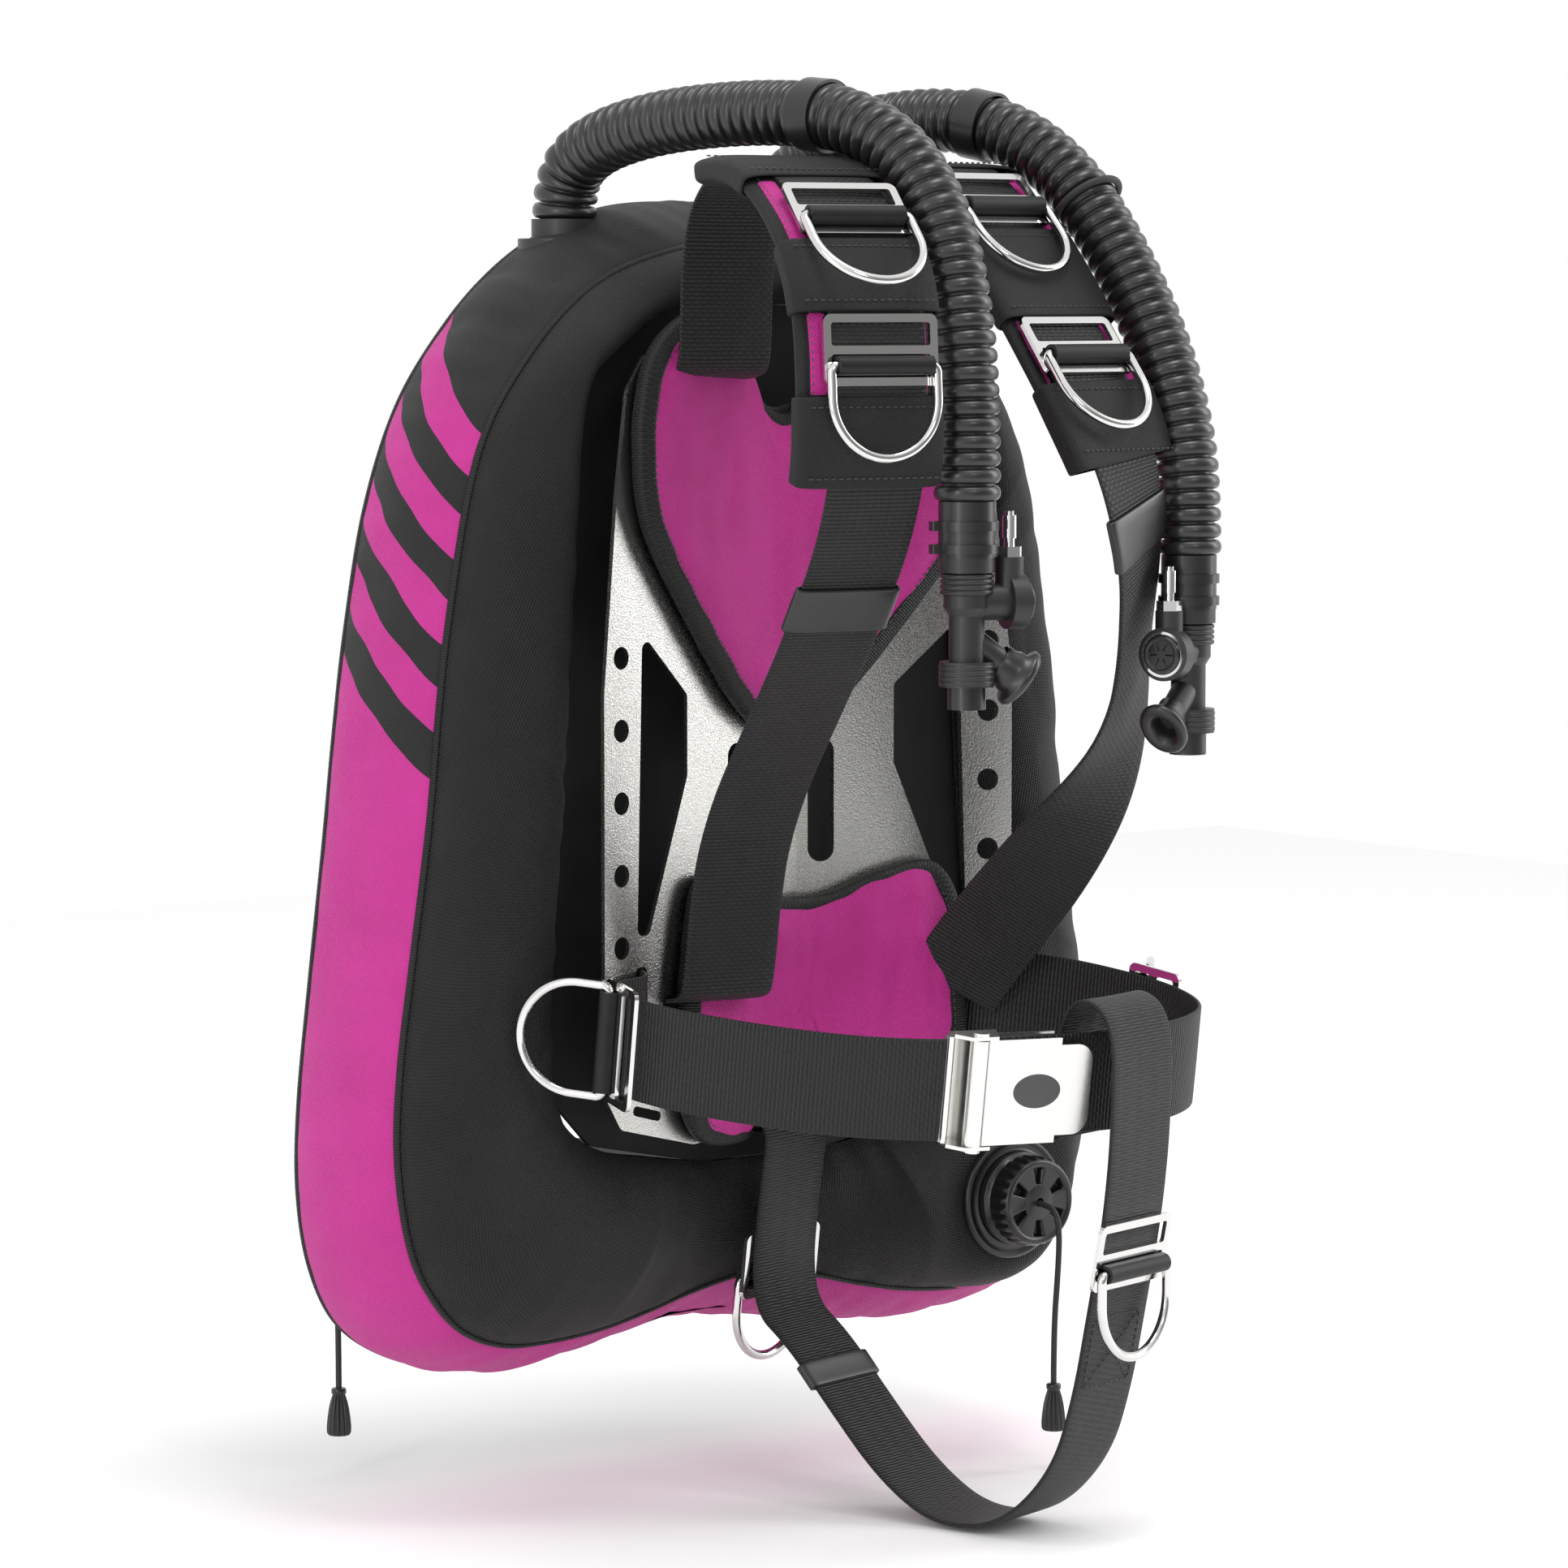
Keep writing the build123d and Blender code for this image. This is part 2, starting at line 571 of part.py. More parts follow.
def tube(name, route, diameter):
    """Round tube along a route of straight runs and the largest tangent arcs that they allow."""
    radii = bend_radii(route)
    with BuildPart() as hose:
        with BuildLine() as path:
            FilletPolyline(*route, radius=radii)
        with BuildSketch(Plane(origin=path.line @ 0, z_dir=path.line % 0)):
            Circle(diameter / 2)
        sweep(path=path.line)
    length = Wire(path.edges()).length
    print(name, "length", round(length, 1), "radii", [round(radius, 1) for radius in radii],
          "volume over section times length",
          round(hose.part.volume / (pi * diameter ** 2 / 4 * length), 4))
    save(hose, name)


tube("hose_left", left_hose_route, hose_diameter)
tube("hose_right", right_hose_route, hose_diameter)

for name, place in zip(("left", "right"), elbow_places):
    with BuildPart() as elbow:
        for low, high, radius in ((elbow_base, elbow_shoulder, elbow_flange),
                                  (elbow_shoulder, elbow_top, 17)):
            with BuildSketch(Plane.XY.offset(low)):
                with Locations(place):
                    Circle(radius)
            extrude(amount=high - low)
    save(elbow, f"hose_elbow_{name}")


# ---- what rides on the hoses --------------------------------------------------------------------------
cuff_length = 27.0
cuff_radius = 13.9
tie_width = 4.5
tie_thickness = 1.3
band_width = 14.0
band_thickness = 1.6
bungee_radius = 1.9
left_inlet = Plane(origin=(*left_hose_route[-1][:2], left_hose_route[-1][2] - cuff_length),
                   x_dir=(0.96, -0.28, 0), z_dir=(0, 0, 1))
right_inlet = Plane(origin=(*right_hose_route[-1][:2], right_hose_route[-1][2] - cuff_length),
                    x_dir=(-0.92, -0.39, 0), z_dir=(0, 0, 1))
inlets = {"left": left_inlet, "right": right_inlet}

with BuildPart() as hose_cuffs:
    for inlet in inlets.values():
        with BuildSketch(inlet):
            Circle(cuff_radius)
        extrude(amount=cuff_length)
save(hose_cuffs, "hose_cuffs")

with BuildPart() as cable_ties:
    for inlet in inlets.values():
        for height in (2.0, 13.0):
            with BuildSketch(inlet.offset(height)):
                Circle(cuff_radius + fit / 2 + tie_thickness)
                with Locations((-cuff_radius - 2.5, 0)):
                    RectangleRounded(5, 6, 1)
                Circle(cuff_radius + fit / 2, mode=Mode.SUBTRACT)
            extrude(amount=tie_width)
save(cable_ties, "cable_ties")


def run_middle(route, run):
    """Plane across a hose at the middle of one of its straight runs."""
    start, end = Vector(*route[run]), Vector(*route[run + 1])
    return Plane(origin=(start + end) / 2, z_dir=end - start)


with BuildPart() as hose_bands:
    for route, run in ((left_hose_route, 5), (right_hose_route, 4)):
        with BuildSketch(run_middle(route, run).offset(-band_width / 2)):
            Circle(hose_diameter / 2 + fit + band_thickness)
            Circle(hose_diameter / 2 + fit, mode=Mode.SUBTRACT)
        extrude(amount=band_width)
save(hose_bands, "hose_bands")

with BuildPart() as hose_bungee:
    across = run_middle(right_hose_route, 6)
    with BuildSketch(Plane(across.origin, x_dir=across.x_dir, z_dir=across.y_dir)):
        with Locations((hose_diameter / 2 + fit + bungee_radius, 0)):
            Circle(bungee_radius)
    revolve(axis=Axis(across.origin, across.z_dir))
save(hose_bungee, "hose_bungee")


# ---- inflators ----------------------------------------------------------------------------------------
# Local frame: x runs out along the side valve, z runs up into the hose, z = 0 is the top of the collar.
valve_axis_z = -21.5
inlet_boss_x = 22.0
inlet_boss_radius = 6.9
button_radius = 9.8
button_travel = 3.0
drain_radius = 9.2
drain_travel = 4.0
retainer_inner = button_radius + fit
up = (Align.CENTER, Align.CENTER, Align.MIN)
sideways = (0, 90, 0)
mouth_normal = (0.8, 0, -0.6)
mouth_start = 27.0


def in_frame(plane, origin, z_dir):
    """A plane given in another plane's coordinates."""
    return Plane(origin=plane.from_local_coords(Vector(*origin)), x_dir=plane.y_dir,
                 z_dir=plane.x_dir * z_dir[0] + plane.y_dir * z_dir[1] + plane.z_dir * z_dir[2])


for side, inlet in inlets.items():
    mouth = in_frame(inlet, (0, 0, -38), mouth_normal)
    with BuildPart(inlet) as inflator_body:
        for low, high, radius in ((-7, 0, 13.5), (-24, -7, 11.2), (-50, -28, 8.7), (-62, -50, 13.2)):
            with Locations((0, 0, low)):
                Cylinder(radius, high - low, align=up)
        with Locations((0, 0, -28)):
            Cone(8.7, 11.2, 4, align=up)
        with Locations((0, 0, valve_axis_z)):
            Cylinder(9, 20, rotation=sideways, align=up)
        with Locations((20, 0, valve_axis_z)):
            Cylinder(13.3, 9, rotation=sideways, align=up)
        with Locations((inlet_boss_x, 0, valve_axis_z)):
            Cylinder(inlet_boss_radius, -valve_axis_z, align=up)
        with BuildSketch(mouth):
            Circle(6.8)
        extrude(amount=mouth_start)
        with Locations((22, 0, valve_axis_z)):
            Cylinder(button_radius + fit, 8, rotation=sideways, align=up, mode=Mode.SUBTRACT)
        with Locations((0, 0, -62)):
            Cylinder(drain_radius + fit, 11, align=up, mode=Mode.SUBTRACT)
    save(inflator_body, f"inflator_body_{side}")
    with BuildPart(inlet) as inflate_button:
        with Locations((26, 0, valve_axis_z)):
            Cylinder(button_radius, 5.5, rotation=sideways, align=up)
    save(inflate_button, f"inflate_button_{side}")
    with BuildPart(inlet) as deflate_button:
        with Locations((0, 0, -73)):
            Cylinder(drain_radius, 17, align=up)
    save(deflate_button, f"deflate_button_{side}")

with BuildPart() as inflator_mouthpieces:
    for inlet in inlets.values():
        mouth = in_frame(inlet, (0, 0, -38), mouth_normal)
        with BuildSketch(mouth.offset(mouth_start)):
            Ellipse(9, 10)
        extrude(amount=4)
        with BuildSketch(mouth.offset(mouth_start + 4)):
            Ellipse(12.5, 14)
        extrude(amount=4)
        with BuildSketch(mouth.offset(mouth_start + 2)):
            Ellipse(5, 7.5)
        extrude(amount=10, mode=Mode.SUBTRACT)
save(inflator_mouthpieces, "inflator_mouthpieces")

with BuildPart() as inflator_nipples:
    for inlet in inlets.values():
        with BuildSketch(inlet):
            with Locations((inlet_boss_x, 0)):
                RegularPolygon(6.4, 6)
        extrude(amount=5)
        for low, high, radius in ((5, 9, 2.6), (9, 20, 3.4), (20, 22, 2.2)):
            with BuildSketch(inlet.offset(low)):
                with Locations((inlet_boss_x, 0)):
                    Circle(radius)
            extrude(amount=high - low)
save(inflator_nipples, "inflator_nipples")

with BuildPart() as button_retainers:
    for inlet in inlets.values():
        with BuildSketch(in_frame(inlet, (29, 0, valve_axis_z), (1, 0, 0))):
            Circle(retainer_inner + 1.3)
            Circle(retainer_inner, mode=Mode.SUBTRACT)
        extrude(amount=0.8)
save(button_retainers, "button_retainers")


def coil_spring(plane, height, radius, turns, wire):
    """Round-wire coil spring that stands on a plane."""
    with BuildPart() as spring:
        with BuildLine(Plane.XY.offset(wire / 2)) as line:
            Helix(pitch=(height - wire) / turns, height=height - wire, radius=radius)
        with BuildSketch(Plane(origin=line.line @ 0, z_dir=line.line % 0)):
            Circle(wire / 2)
        sweep(path=line.line)
    return plane.location * spring.part


with BuildPart() as button_springs:
    for inlet in inlets.values():
        add(coil_spring(in_frame(inlet, (22.05, 0, valve_axis_z), (1, 0, 0)), 3.9, 6, 2, 0.7))
        add(coil_spring(inlet.offset(-55.95), 4.9, 5.5, 2, 0.7))
save(button_springs, "button_springs")


# ---- dump valves --------------------------------------------------------------------------------------
# Local frame: z runs out of the air cell along the valve's axis, y runs up.
patch_radius = 32.0
patch_thickness = 3.0
seat_height = 6.0
cap_height = 16.0
cap_wall = 3.0
poppet_radius = 15.0
poppet_thickness = 2.5
valve_travel = 5.0
cord_hole = 2.4
knob_radius = 6.5
knob_length = 25.0
front_valve = Plane(origin=(150, cell_front, -240), x_dir=(1, 0, 0), z_dir=(0, -1, 0))
rear_valve = Plane(origin=(-160, cell_rear, -225), x_dir=(-1, 0, 0), z_dir=(0, 1, 0))
front_pull_route = [(150, -24.5, -240), (150, -43, -240.5), (150, -50, -244), (149.8, -53, -254),
                    (148.5, -53.5, -274), (147, -52, -304), (147, -52, -334)]
rear_pull_route = [(-160, 136.5, -225), (-160, 155, -225.5), (-160.2, 162, -229), (-160.6, 165, -239),
                   (-161, 165.5, -262), (-160.5, 164, -298), (-160.5, 164, -334)]
cap_base = patch_thickness + seat_height
poppet_base = cap_base + 0.1

with BuildPart() as valve_patches:
    for valve in (front_valve, rear_valve):
        with BuildSketch(valve):
            Circle(patch_radius)
            Circle(poppet_radius - 2, mode=Mode.SUBTRACT)
        extrude(amount=patch_thickness)
save(valve_patches, "valve_patches")

with BuildPart() as valve_seats:
    for valve in (front_valve, rear_valve):
        with BuildSketch(valve.offset(patch_thickness)):
            Circle(valve_radius - 1)
            Circle(poppet_radius - 2, mode=Mode.SUBTRACT)
        extrude(amount=seat_height)
save(valve_seats, "valve_seats")

with BuildPart() as valve_caps:
    for valve in (front_valve, rear_valve):
        with BuildSketch(valve.offset(cap_base)):
            Circle(valve_radius)
            Circle(valve_radius - cap_wall, mode=Mode.SUBTRACT)
        extrude(amount=cap_height)
        with BuildSketch(valve.offset(cap_base + cap_height - cap_wall)):
            Circle(valve_radius)
            Circle(cord_hole, mode=Mode.SUBTRACT)
            with PolarLocations(14, 6):
                Circle(4, mode=Mode.SUBTRACT)
        extrude(amount=cap_wall)
save(valve_caps, "valve_caps")

for name, valve, route in (("front", front_valve, front_pull_route), ("rear", rear_valve, rear_pull_route)):
    with BuildPart() as poppet:
        with BuildSketch(valve.offset(poppet_base)):
            Circle(poppet_radius)
        extrude(amount=poppet_thickness)
    save(poppet, f"valve_poppet_{name}")
    spring_base = poppet_base + poppet_thickness + 0.05
    spring_height = cap_base + cap_height - cap_wall - spring_base - 0.05
    with BuildPart() as valve_spring:
        add(coil_spring(valve.offset(spring_base), spring_height, 5, 4, 0.8))
    save(valve_spring, f"valve_spring_{name}")
    tube(f"pull_cord_{name}", route, cord_diameter)
    with BuildPart() as knob:
        with BuildSketch(Plane.XY.offset(route[-1][2])):
            with Locations(route[-1][:2]):
                Circle(knob_radius - 2)
        with BuildSketch(Plane.XY.offset(route[-1][2] - knob_length)):
            with Locations(route[-1][:2]):
                Circle(knob_radius)
        loft()
    save(knob, f"pull_knob_{name}")
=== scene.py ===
"""Looks of a diving buoyancy vest: stuffed cloth wing, padded steel backplate, webbing harness and two ribbed hoses."""
import bpy
import numpy as np
from mathutils import Matrix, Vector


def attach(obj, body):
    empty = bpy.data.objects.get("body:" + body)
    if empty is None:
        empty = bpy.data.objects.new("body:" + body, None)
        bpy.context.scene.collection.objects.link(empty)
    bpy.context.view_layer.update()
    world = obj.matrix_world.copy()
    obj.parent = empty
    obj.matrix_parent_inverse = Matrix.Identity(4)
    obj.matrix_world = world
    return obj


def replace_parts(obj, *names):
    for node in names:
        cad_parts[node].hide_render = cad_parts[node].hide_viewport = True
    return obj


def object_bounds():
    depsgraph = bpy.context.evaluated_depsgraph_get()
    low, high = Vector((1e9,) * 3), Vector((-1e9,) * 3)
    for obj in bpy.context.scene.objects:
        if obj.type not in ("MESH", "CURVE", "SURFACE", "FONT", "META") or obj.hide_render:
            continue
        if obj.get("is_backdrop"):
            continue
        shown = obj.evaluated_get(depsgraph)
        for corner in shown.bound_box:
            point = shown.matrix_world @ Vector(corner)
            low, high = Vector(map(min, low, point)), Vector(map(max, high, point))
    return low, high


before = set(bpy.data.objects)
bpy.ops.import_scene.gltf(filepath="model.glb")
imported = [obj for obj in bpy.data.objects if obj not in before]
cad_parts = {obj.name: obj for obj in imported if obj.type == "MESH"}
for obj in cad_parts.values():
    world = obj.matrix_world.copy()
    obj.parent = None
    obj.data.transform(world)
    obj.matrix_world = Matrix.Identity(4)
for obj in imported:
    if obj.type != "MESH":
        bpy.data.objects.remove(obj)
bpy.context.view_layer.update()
MM = 0.001
TURN = 2 * np.pi


# ---- shader arithmetic --------------------------------------------------------------------------------
class Value:
    """A shader socket that takes part in Python arithmetic; each operator adds one Math node."""

    def __init__(self, finish, socket):
        self.finish, self.socket = finish, socket

    def math(self, operation, *others):
        return self.finish.node("ShaderNodeMath", {"operation": operation}, self, *others)

    def __add__(self, other): return self.math("ADD", other)
    def __mul__(self, other): return self.math("MULTIPLY", other)
    def __sub__(self, other): return self.math("SUBTRACT", other)
    def __truediv__(self, other): return self.math("DIVIDE", other)
    def __rsub__(self, other): return (self * -1) + other
    __radd__, __rmul__ = __add__, __mul__

    def sin(self): return self.math("SINE")
    def abs(self): return self.math("ABSOLUTE")
    def step(self, edge): return self.math("GREATER_THAN", edge)
    def clip(self): return self.finish.node("ShaderNodeClamp", {}, self)


class Finish:
    """One material. node() adds any node; shade() feeds the shader's sockets."""

    def __init__(self, name, **fixed):
        self.material = bpy.data.materials.new(name)
        self.material.use_nodes = True
        self.nodes, self.links = self.material.node_tree.nodes, self.material.node_tree.links
        self.shader = self.nodes["Principled BSDF"]
        for socket, value in fixed.items():
            self.shader.inputs[socket.replace("_", " ")].default_value = value

    def node(self, kind, settings, *inputs, out=0):
        made = self.nodes.new(kind)
        for key, value in settings.items():
            if key == "stops":
                for stop, (place, colour) in zip(made.color_ramp.elements, value):
                    stop.position, stop.color = place, (*colour, 1)
            else:
                setattr(made, key, value)
        for index, value in enumerate(inputs):
            if value is None:
                continue
            key, value = value if isinstance(value, tuple) and isinstance(value[0], str) else (index, value)
            if isinstance(value, Value):
                self.links.new(value.socket, made.inputs[key])
            else:
                made.inputs[key].default_value = value
        return Value(self, made.outputs[out])

    def place(self, scale=(1, 1, 1)):
        """Object coordinates, multiplied by a scale."""
        here = self.node("ShaderNodeTexCoord", {}, out=3)
        return self.node("ShaderNodeMapping", {}, here, ("Scale", scale))

    def uv(self):
        """The piece's own UV map in metres, as two numbers."""
        split = self.nodes.new("ShaderNodeSeparateXYZ")
        self.links.new(self.node("ShaderNodeUVMap", {"uv_map": "cut"}).socket, split.inputs[0])
        return Value(self, split.outputs[0]), Value(self, split.outputs[1])

    def noise(self, scale, detail=3.0, where=None):
        return self.node("ShaderNodeTexNoise", {}, where or self.place(), ("Scale", scale), ("Detail", detail))

    def blend(self, amount, low, high):
        """Colour between low and high by an amount."""
        made = self.nodes.new("ShaderNodeMix")
        made.data_type = "RGBA"
        for key, value in ((0, amount), (6, low), (7, high)):
            if isinstance(value, Value):
                self.links.new(value.socket, made.inputs[key])
            else:
                made.inputs[key].default_value = value if key == 0 else (*value, 1)
        return Value(self, made.outputs[2])

    def shade(self, height=None, depth=0.0005, **linked):
        for socket, value in linked.items():
            self.links.new(value.socket, self.shader.inputs[socket.replace("_", " ")])
        if height is not None:
            bump = self.node("ShaderNodeBump", {}, ("Distance", depth), ("Height", height))
            self.links.new(bump.socket, self.shader.inputs["Normal"])
        return self.material


# ---- finishes -----------------------------------------------------------------------------------------
def woven(name, dark, light, pitch, slant=0.0, relief=0.00035, roughness=0.62, sheen=0.04):
    """Basket weave: product of two sine rows at the thread pitch, turned by a slant, over a faint cloudy tone."""
    cloth = Finish(name, Roughness=roughness, Sheen_Weight=sheen, Sheen_Roughness=0.4, Specular_IOR_Level=0.3)
    u, v = cloth.uv()
    one, two = (u + v * slant) * (TURN / pitch), (v - u * slant) * (TURN / pitch)
    threads = one.sin() * two.sin() * 0.5 + 0.5
    cloud = cloth.noise(38, 4)
    tone = (threads * 0.7 + cloud * 0.45).clip()
    return cloth.shade(height=threads + cloud * 0.6, depth=relief, Base_Color=cloth.blend(tone, dark, light))


def ribbed_webbing(name, pitch, rows, dark, light):
    """Heavy webbing: ribs across the strap at the pitch, each broken into short stitches in alternate rows."""
    cloth = Finish(name, Roughness=0.5, Sheen_Weight=0.03, Sheen_Roughness=0.35, Specular_IOR_Level=0.35)
    u, v = cloth.uv()
    ribs = (u * (np.pi / pitch)).sin().abs()
    shifted = (v * (TURN / rows) + (u * (TURN / pitch / 2)).sin() * 1.6).sin() * 0.5 + 0.5
    cloud = cloth.noise(60, 3)
    height = ribs * (shifted * 0.5 + 0.5)
    return cloth.shade(height=height, depth=0.0006,
                       Base_Color=cloth.blend((height * 0.75 + cloud * 0.35).clip(), dark, light))


def metal(name, colour, roughness, grain, relief, patch=0.0):
    """Metal with fine grain in relief and slow changes of roughness."""
    steel = Finish(name, Base_Color=(*colour, 1), Metallic=1.0)
    speckle, cloud = steel.noise(grain, 2), steel.noise(9, 3)
    return steel.shade(height=speckle, depth=relief,
                       Roughness=(cloud * patch + speckle * (patch * 0.6) + (roughness - patch * 0.8)).clip())


def moulded(name, colour, roughness, grain, relief, coat=0.0, metallic=0.0):
    """Moulded plastic or rubber: fine speckle in relief and a cloudy sheen."""
    plastic = Finish(name, Metallic=metallic, Coat_Weight=coat, Coat_Roughness=0.25)
    speckle, cloud = plastic.noise(grain, 2), plastic.noise(45, 4)
    lighter = tuple(min(1.0, part * 1.9 + 0.006) for part in colour)
    return plastic.shade(height=speckle, depth=relief, Roughness=(cloud * 0.22 + (roughness - 0.11)).clip(),
                         Base_Color=plastic.blend((cloud * 0.7).clip(), colour, lighter))


MAGENTA_DARK, MAGENTA = (0.36, 0.012, 0.17), (0.60, 0.034, 0.31)
BLACK_DARK, BLACK = (0.0015, 0.0015, 0.0016), (0.015, 0.015, 0.0155)
finish = {
    "wing_cloth": woven("wing_cloth", BLACK_DARK, (0.019, 0.019, 0.0195), 0.0023, 0.5, 0.0008),
    "wing_magenta": woven("wing_magenta", MAGENTA_DARK, MAGENTA, 0.0015, 0.0, 0.00025),
    "pad_magenta": woven("pad_magenta", MAGENTA_DARK, MAGENTA, 0.0019, 0.35, 0.0003),
    "pad_black": woven("pad_black", BLACK_DARK, BLACK, 0.0016, 0.0, 0.0003),
    "binding": ribbed_webbing("binding", 0.0014, 0.004, BLACK_DARK, (0.012, 0.012, 0.0125)),
    "webbing": ribbed_webbing("webbing", 0.0021, 0.0042, BLACK_DARK, (0.019, 0.019, 0.0195)),
    "crotch_webbing": ribbed_webbing("crotch_webbing", 0.0016, 0.012, BLACK_DARK, (0.016, 0.016, 0.0165)),
    "plate_steel": metal("plate_steel", (0.56, 0.55, 0.53), 0.27, 1100, 0.00020, 0.16),
    "ring_steel": metal("ring_steel", (0.72, 0.71, 0.70), 0.12, 60, 0.00003, 0.06),
    "buckle_steel": metal("buckle_steel", (0.80, 0.79, 0.77), 0.25, 500, 0.00002, 0.10),
    "chrome": metal("chrome", (0.82, 0.82, 0.82), 0.08, 60, 0.00002, 0.03),
    "hose_rubber": moulded("hose_rubber", (0.006, 0.006, 0.006), 0.36, 700, 0.00003, 0.3),
    "smooth_rubber": moulded("smooth_rubber", (0.006, 0.006, 0.006), 0.36, 160, 0.00006, 0.2),
    "speckled_plastic": moulded("speckled_plastic", (0.009, 0.009, 0.0094), 0.45, 1500, 0.00010, 0.1),
    "smooth_plastic": moulded("smooth_plastic", (0.006, 0.006, 0.0063), 0.33, 300, 0.00003, 0.2),
    "badge_plastic": moulded("badge_plastic", (0.045, 0.045, 0.047), 0.4, 900, 0.00004),
    "thread": moulded("thread", (0.035, 0.035, 0.036), 0.55, 900, 0.00003),
    "film": moulded("film", (0.35, 0.37, 0.40), 0.5, 200, 0.00005),
    "cord": moulded("cord", (0.012, 0.012, 0.012), 0.6, 1800, 0.0002),
}


# ---- surfaces -----------------------------------------------------------------------------------------
def grid(name, points, look, body="harness", around=False, along=False, uv=None, caps=False, smooth=True):
    """A mesh from an array of points, rows by columns, closed along or around where asked.
    The UV map holds lengths in metres: v across the columns, u along the rows."""
    rows, columns = points.shape[:2]
    count = np.arange(rows * columns).reshape(rows, columns)
    if along:
        count = np.vstack([count, count[:1]])
    if around:
        count = np.hstack([count, count[:, :1]])
    faces = np.stack([count[:-1, :-1], count[:-1, 1:], count[1:, 1:], count[1:, :-1]], -1).reshape(-1, 4)
    if uv is None:
        step_u = np.linalg.norm(np.diff(points, axis=0), axis=2).mean(1)
        step_v = np.linalg.norm(np.diff(points, axis=1), axis=2).mean(0)
        u = np.concatenate([[0], np.cumsum(step_u), [step_u.sum() + step_u.mean()]])[:count.shape[0]]
        v = np.concatenate([[0], np.cumsum(step_v), [step_v.sum() + step_v.mean()]])[:count.shape[1]]
        uv = np.stack(np.meshgrid(u, v, indexing="ij"), -1)
    corners = np.stack([uv[:-1, :-1], uv[:-1, 1:], uv[1:, 1:], uv[1:, :-1]], 2).reshape(-1, 2)
    faces, flat = faces.tolist(), corners
    if caps:
        faces += [count[0, :columns][::-1].tolist(), count[-1, :columns].tolist()]
        flat = np.vstack([corners, np.tile(corners[:1], (2 * columns, 1))])
    mesh = bpy.data.meshes.new(name)
    mesh.from_pydata(points.reshape(-1, 3), [], faces)
    mesh.uv_layers.new(name="cut").data.foreach_set("uv", np.ascontiguousarray(flat, dtype=np.float32).ravel())
    mesh.polygons.foreach_set("use_smooth", [smooth] * len(faces))
    mesh.materials.append(finish[look])
    piece = bpy.data.objects.new(name, mesh)
    bpy.context.scene.collection.objects.link(piece)
    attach(piece, body)
    return piece


def rounded(route, per_corner=14):
    """Quadratic B-spline of a route: an arc at each corner between the middles of its two runs."""
    route = np.asarray(route, float)
    middles = (route[1:] + route[:-1]) / 2
    starts, ends = middles[:-1], middles[1:]
    starts[0], ends[-1] = route[0], route[-1]
    t = np.linspace(0, 1, per_corner, endpoint=False)[None, :, None]
    arcs = (1 - t) ** 2 * starts[:, None] + 2 * t * (1 - t) * route[1:-1, None] + t ** 2 * ends[:, None]
    return np.vstack([arcs.reshape(-1, route.shape[1]), route[-1:]])


def evenly(path, count, closed=False):
    """The same path with its points at equal distances, and those distances."""
    if closed:
        path = np.vstack([path, path[:1]])
    lengths = np.concatenate([[0], np.cumsum(np.linalg.norm(np.diff(path, axis=0), axis=1))])
    at = np.linspace(0, lengths[-1], count, endpoint=not closed)
    return np.stack([np.interp(at, lengths, column) for column in path.T], 1), at


def unit(vectors):
    return vectors / np.linalg.norm(vectors, axis=-1, keepdims=True)


def tangents(path, closed=False):
    """Unit directions along a path."""
    if closed:
        return unit(np.roll(path, -1, 0) - np.roll(path, 1, 0))
    return unit(np.gradient(path, axis=0))


def carry(path, across, profile, closed=False):
    """A profile of (across, out) offsets carried along a path; out is square to the path and to across."""
    ahead = tangents(path, closed)
    across = unit(across - ahead * (across * ahead).sum(1, keepdims=True))
    out = np.cross(ahead, across)
    return path[:, None] + across[:, None] * profile[..., :1] + out[:, None] * profile[..., 1:]


def slab(width, thickness, count=10, corner=0.45):
    """Closed outline of flat webbing: two straight faces and two rounded edges."""
    half, round_ = width / 2, thickness * corner
    face = np.linspace(-half + round_, half - round_, count)
    turn = np.linspace(-np.pi / 2, np.pi / 2, 5)[1:-1]
    edge = np.stack([half - round_ + round_ * np.cos(turn), np.sin(turn) * thickness / 2], 1)
    top = np.stack([face[::-1], np.full(count, thickness / 2)], 1)
    bottom = np.stack([face, np.full(count, -thickness / 2)], 1)
    return np.vstack([bottom, edge, top, edge * -1])


def circle(radius, count=12):
    """Closed circle of offsets."""
    turn = np.linspace(0, TURN, count, endpoint=False)
    return np.stack([np.cos(turn), np.sin(turn)], 1) * radius


def ripple(x, y, wave, seed, terms=7):
    """Smooth noise: a sum of sine waves of random direction and phase near one wavelength, from -1 to 1."""
    chance = np.random.RandomState(seed)
    total = 0
    for _ in range(terms):
        angle, phase, size = chance.uniform(0, TURN), chance.uniform(0, TURN), wave * chance.uniform(0.6, 1.6)
        total = total + np.sin((x * np.cos(angle) + y * np.sin(angle)) * TURN / size + phase)
    return total / terms ** 0.5 / 1.4


# ---- planes of the straps -----------------------------------------------------------------------------
class Upright:
    """Upright plane that leaves the plate at start; local x runs forward and outward, local y runs up."""

    def __init__(self, side, start, yaw):
        turn = np.radians(yaw)
        self.origin = np.array([side * start, 0, 0]) * MM
        self.x = np.array([side * np.sin(turn), -np.cos(turn), 0])
        self.y = np.array([0.0, 0, 1])
        self.z = np.cross(self.x, self.y)

    def lift(self, flat):
        """Local points in millimetres, as world points in metres."""
        flat = np.asarray(flat, float) * MM
        return self.origin + flat[:, :1] * self.x + flat[:, 1:] * self.y


class Tilted(Upright):
    """The belt's plane: level from side to side and tipped forward."""

    def __init__(self, origin, tilt):
        turn = np.radians(tilt)
        self.origin = np.array(origin) * MM
        self.x, self.y = np.array([1.0, 0, 0]), np.array([0, np.cos(turn), np.sin(turn)])
        self.z = np.cross(self.x, self.y)


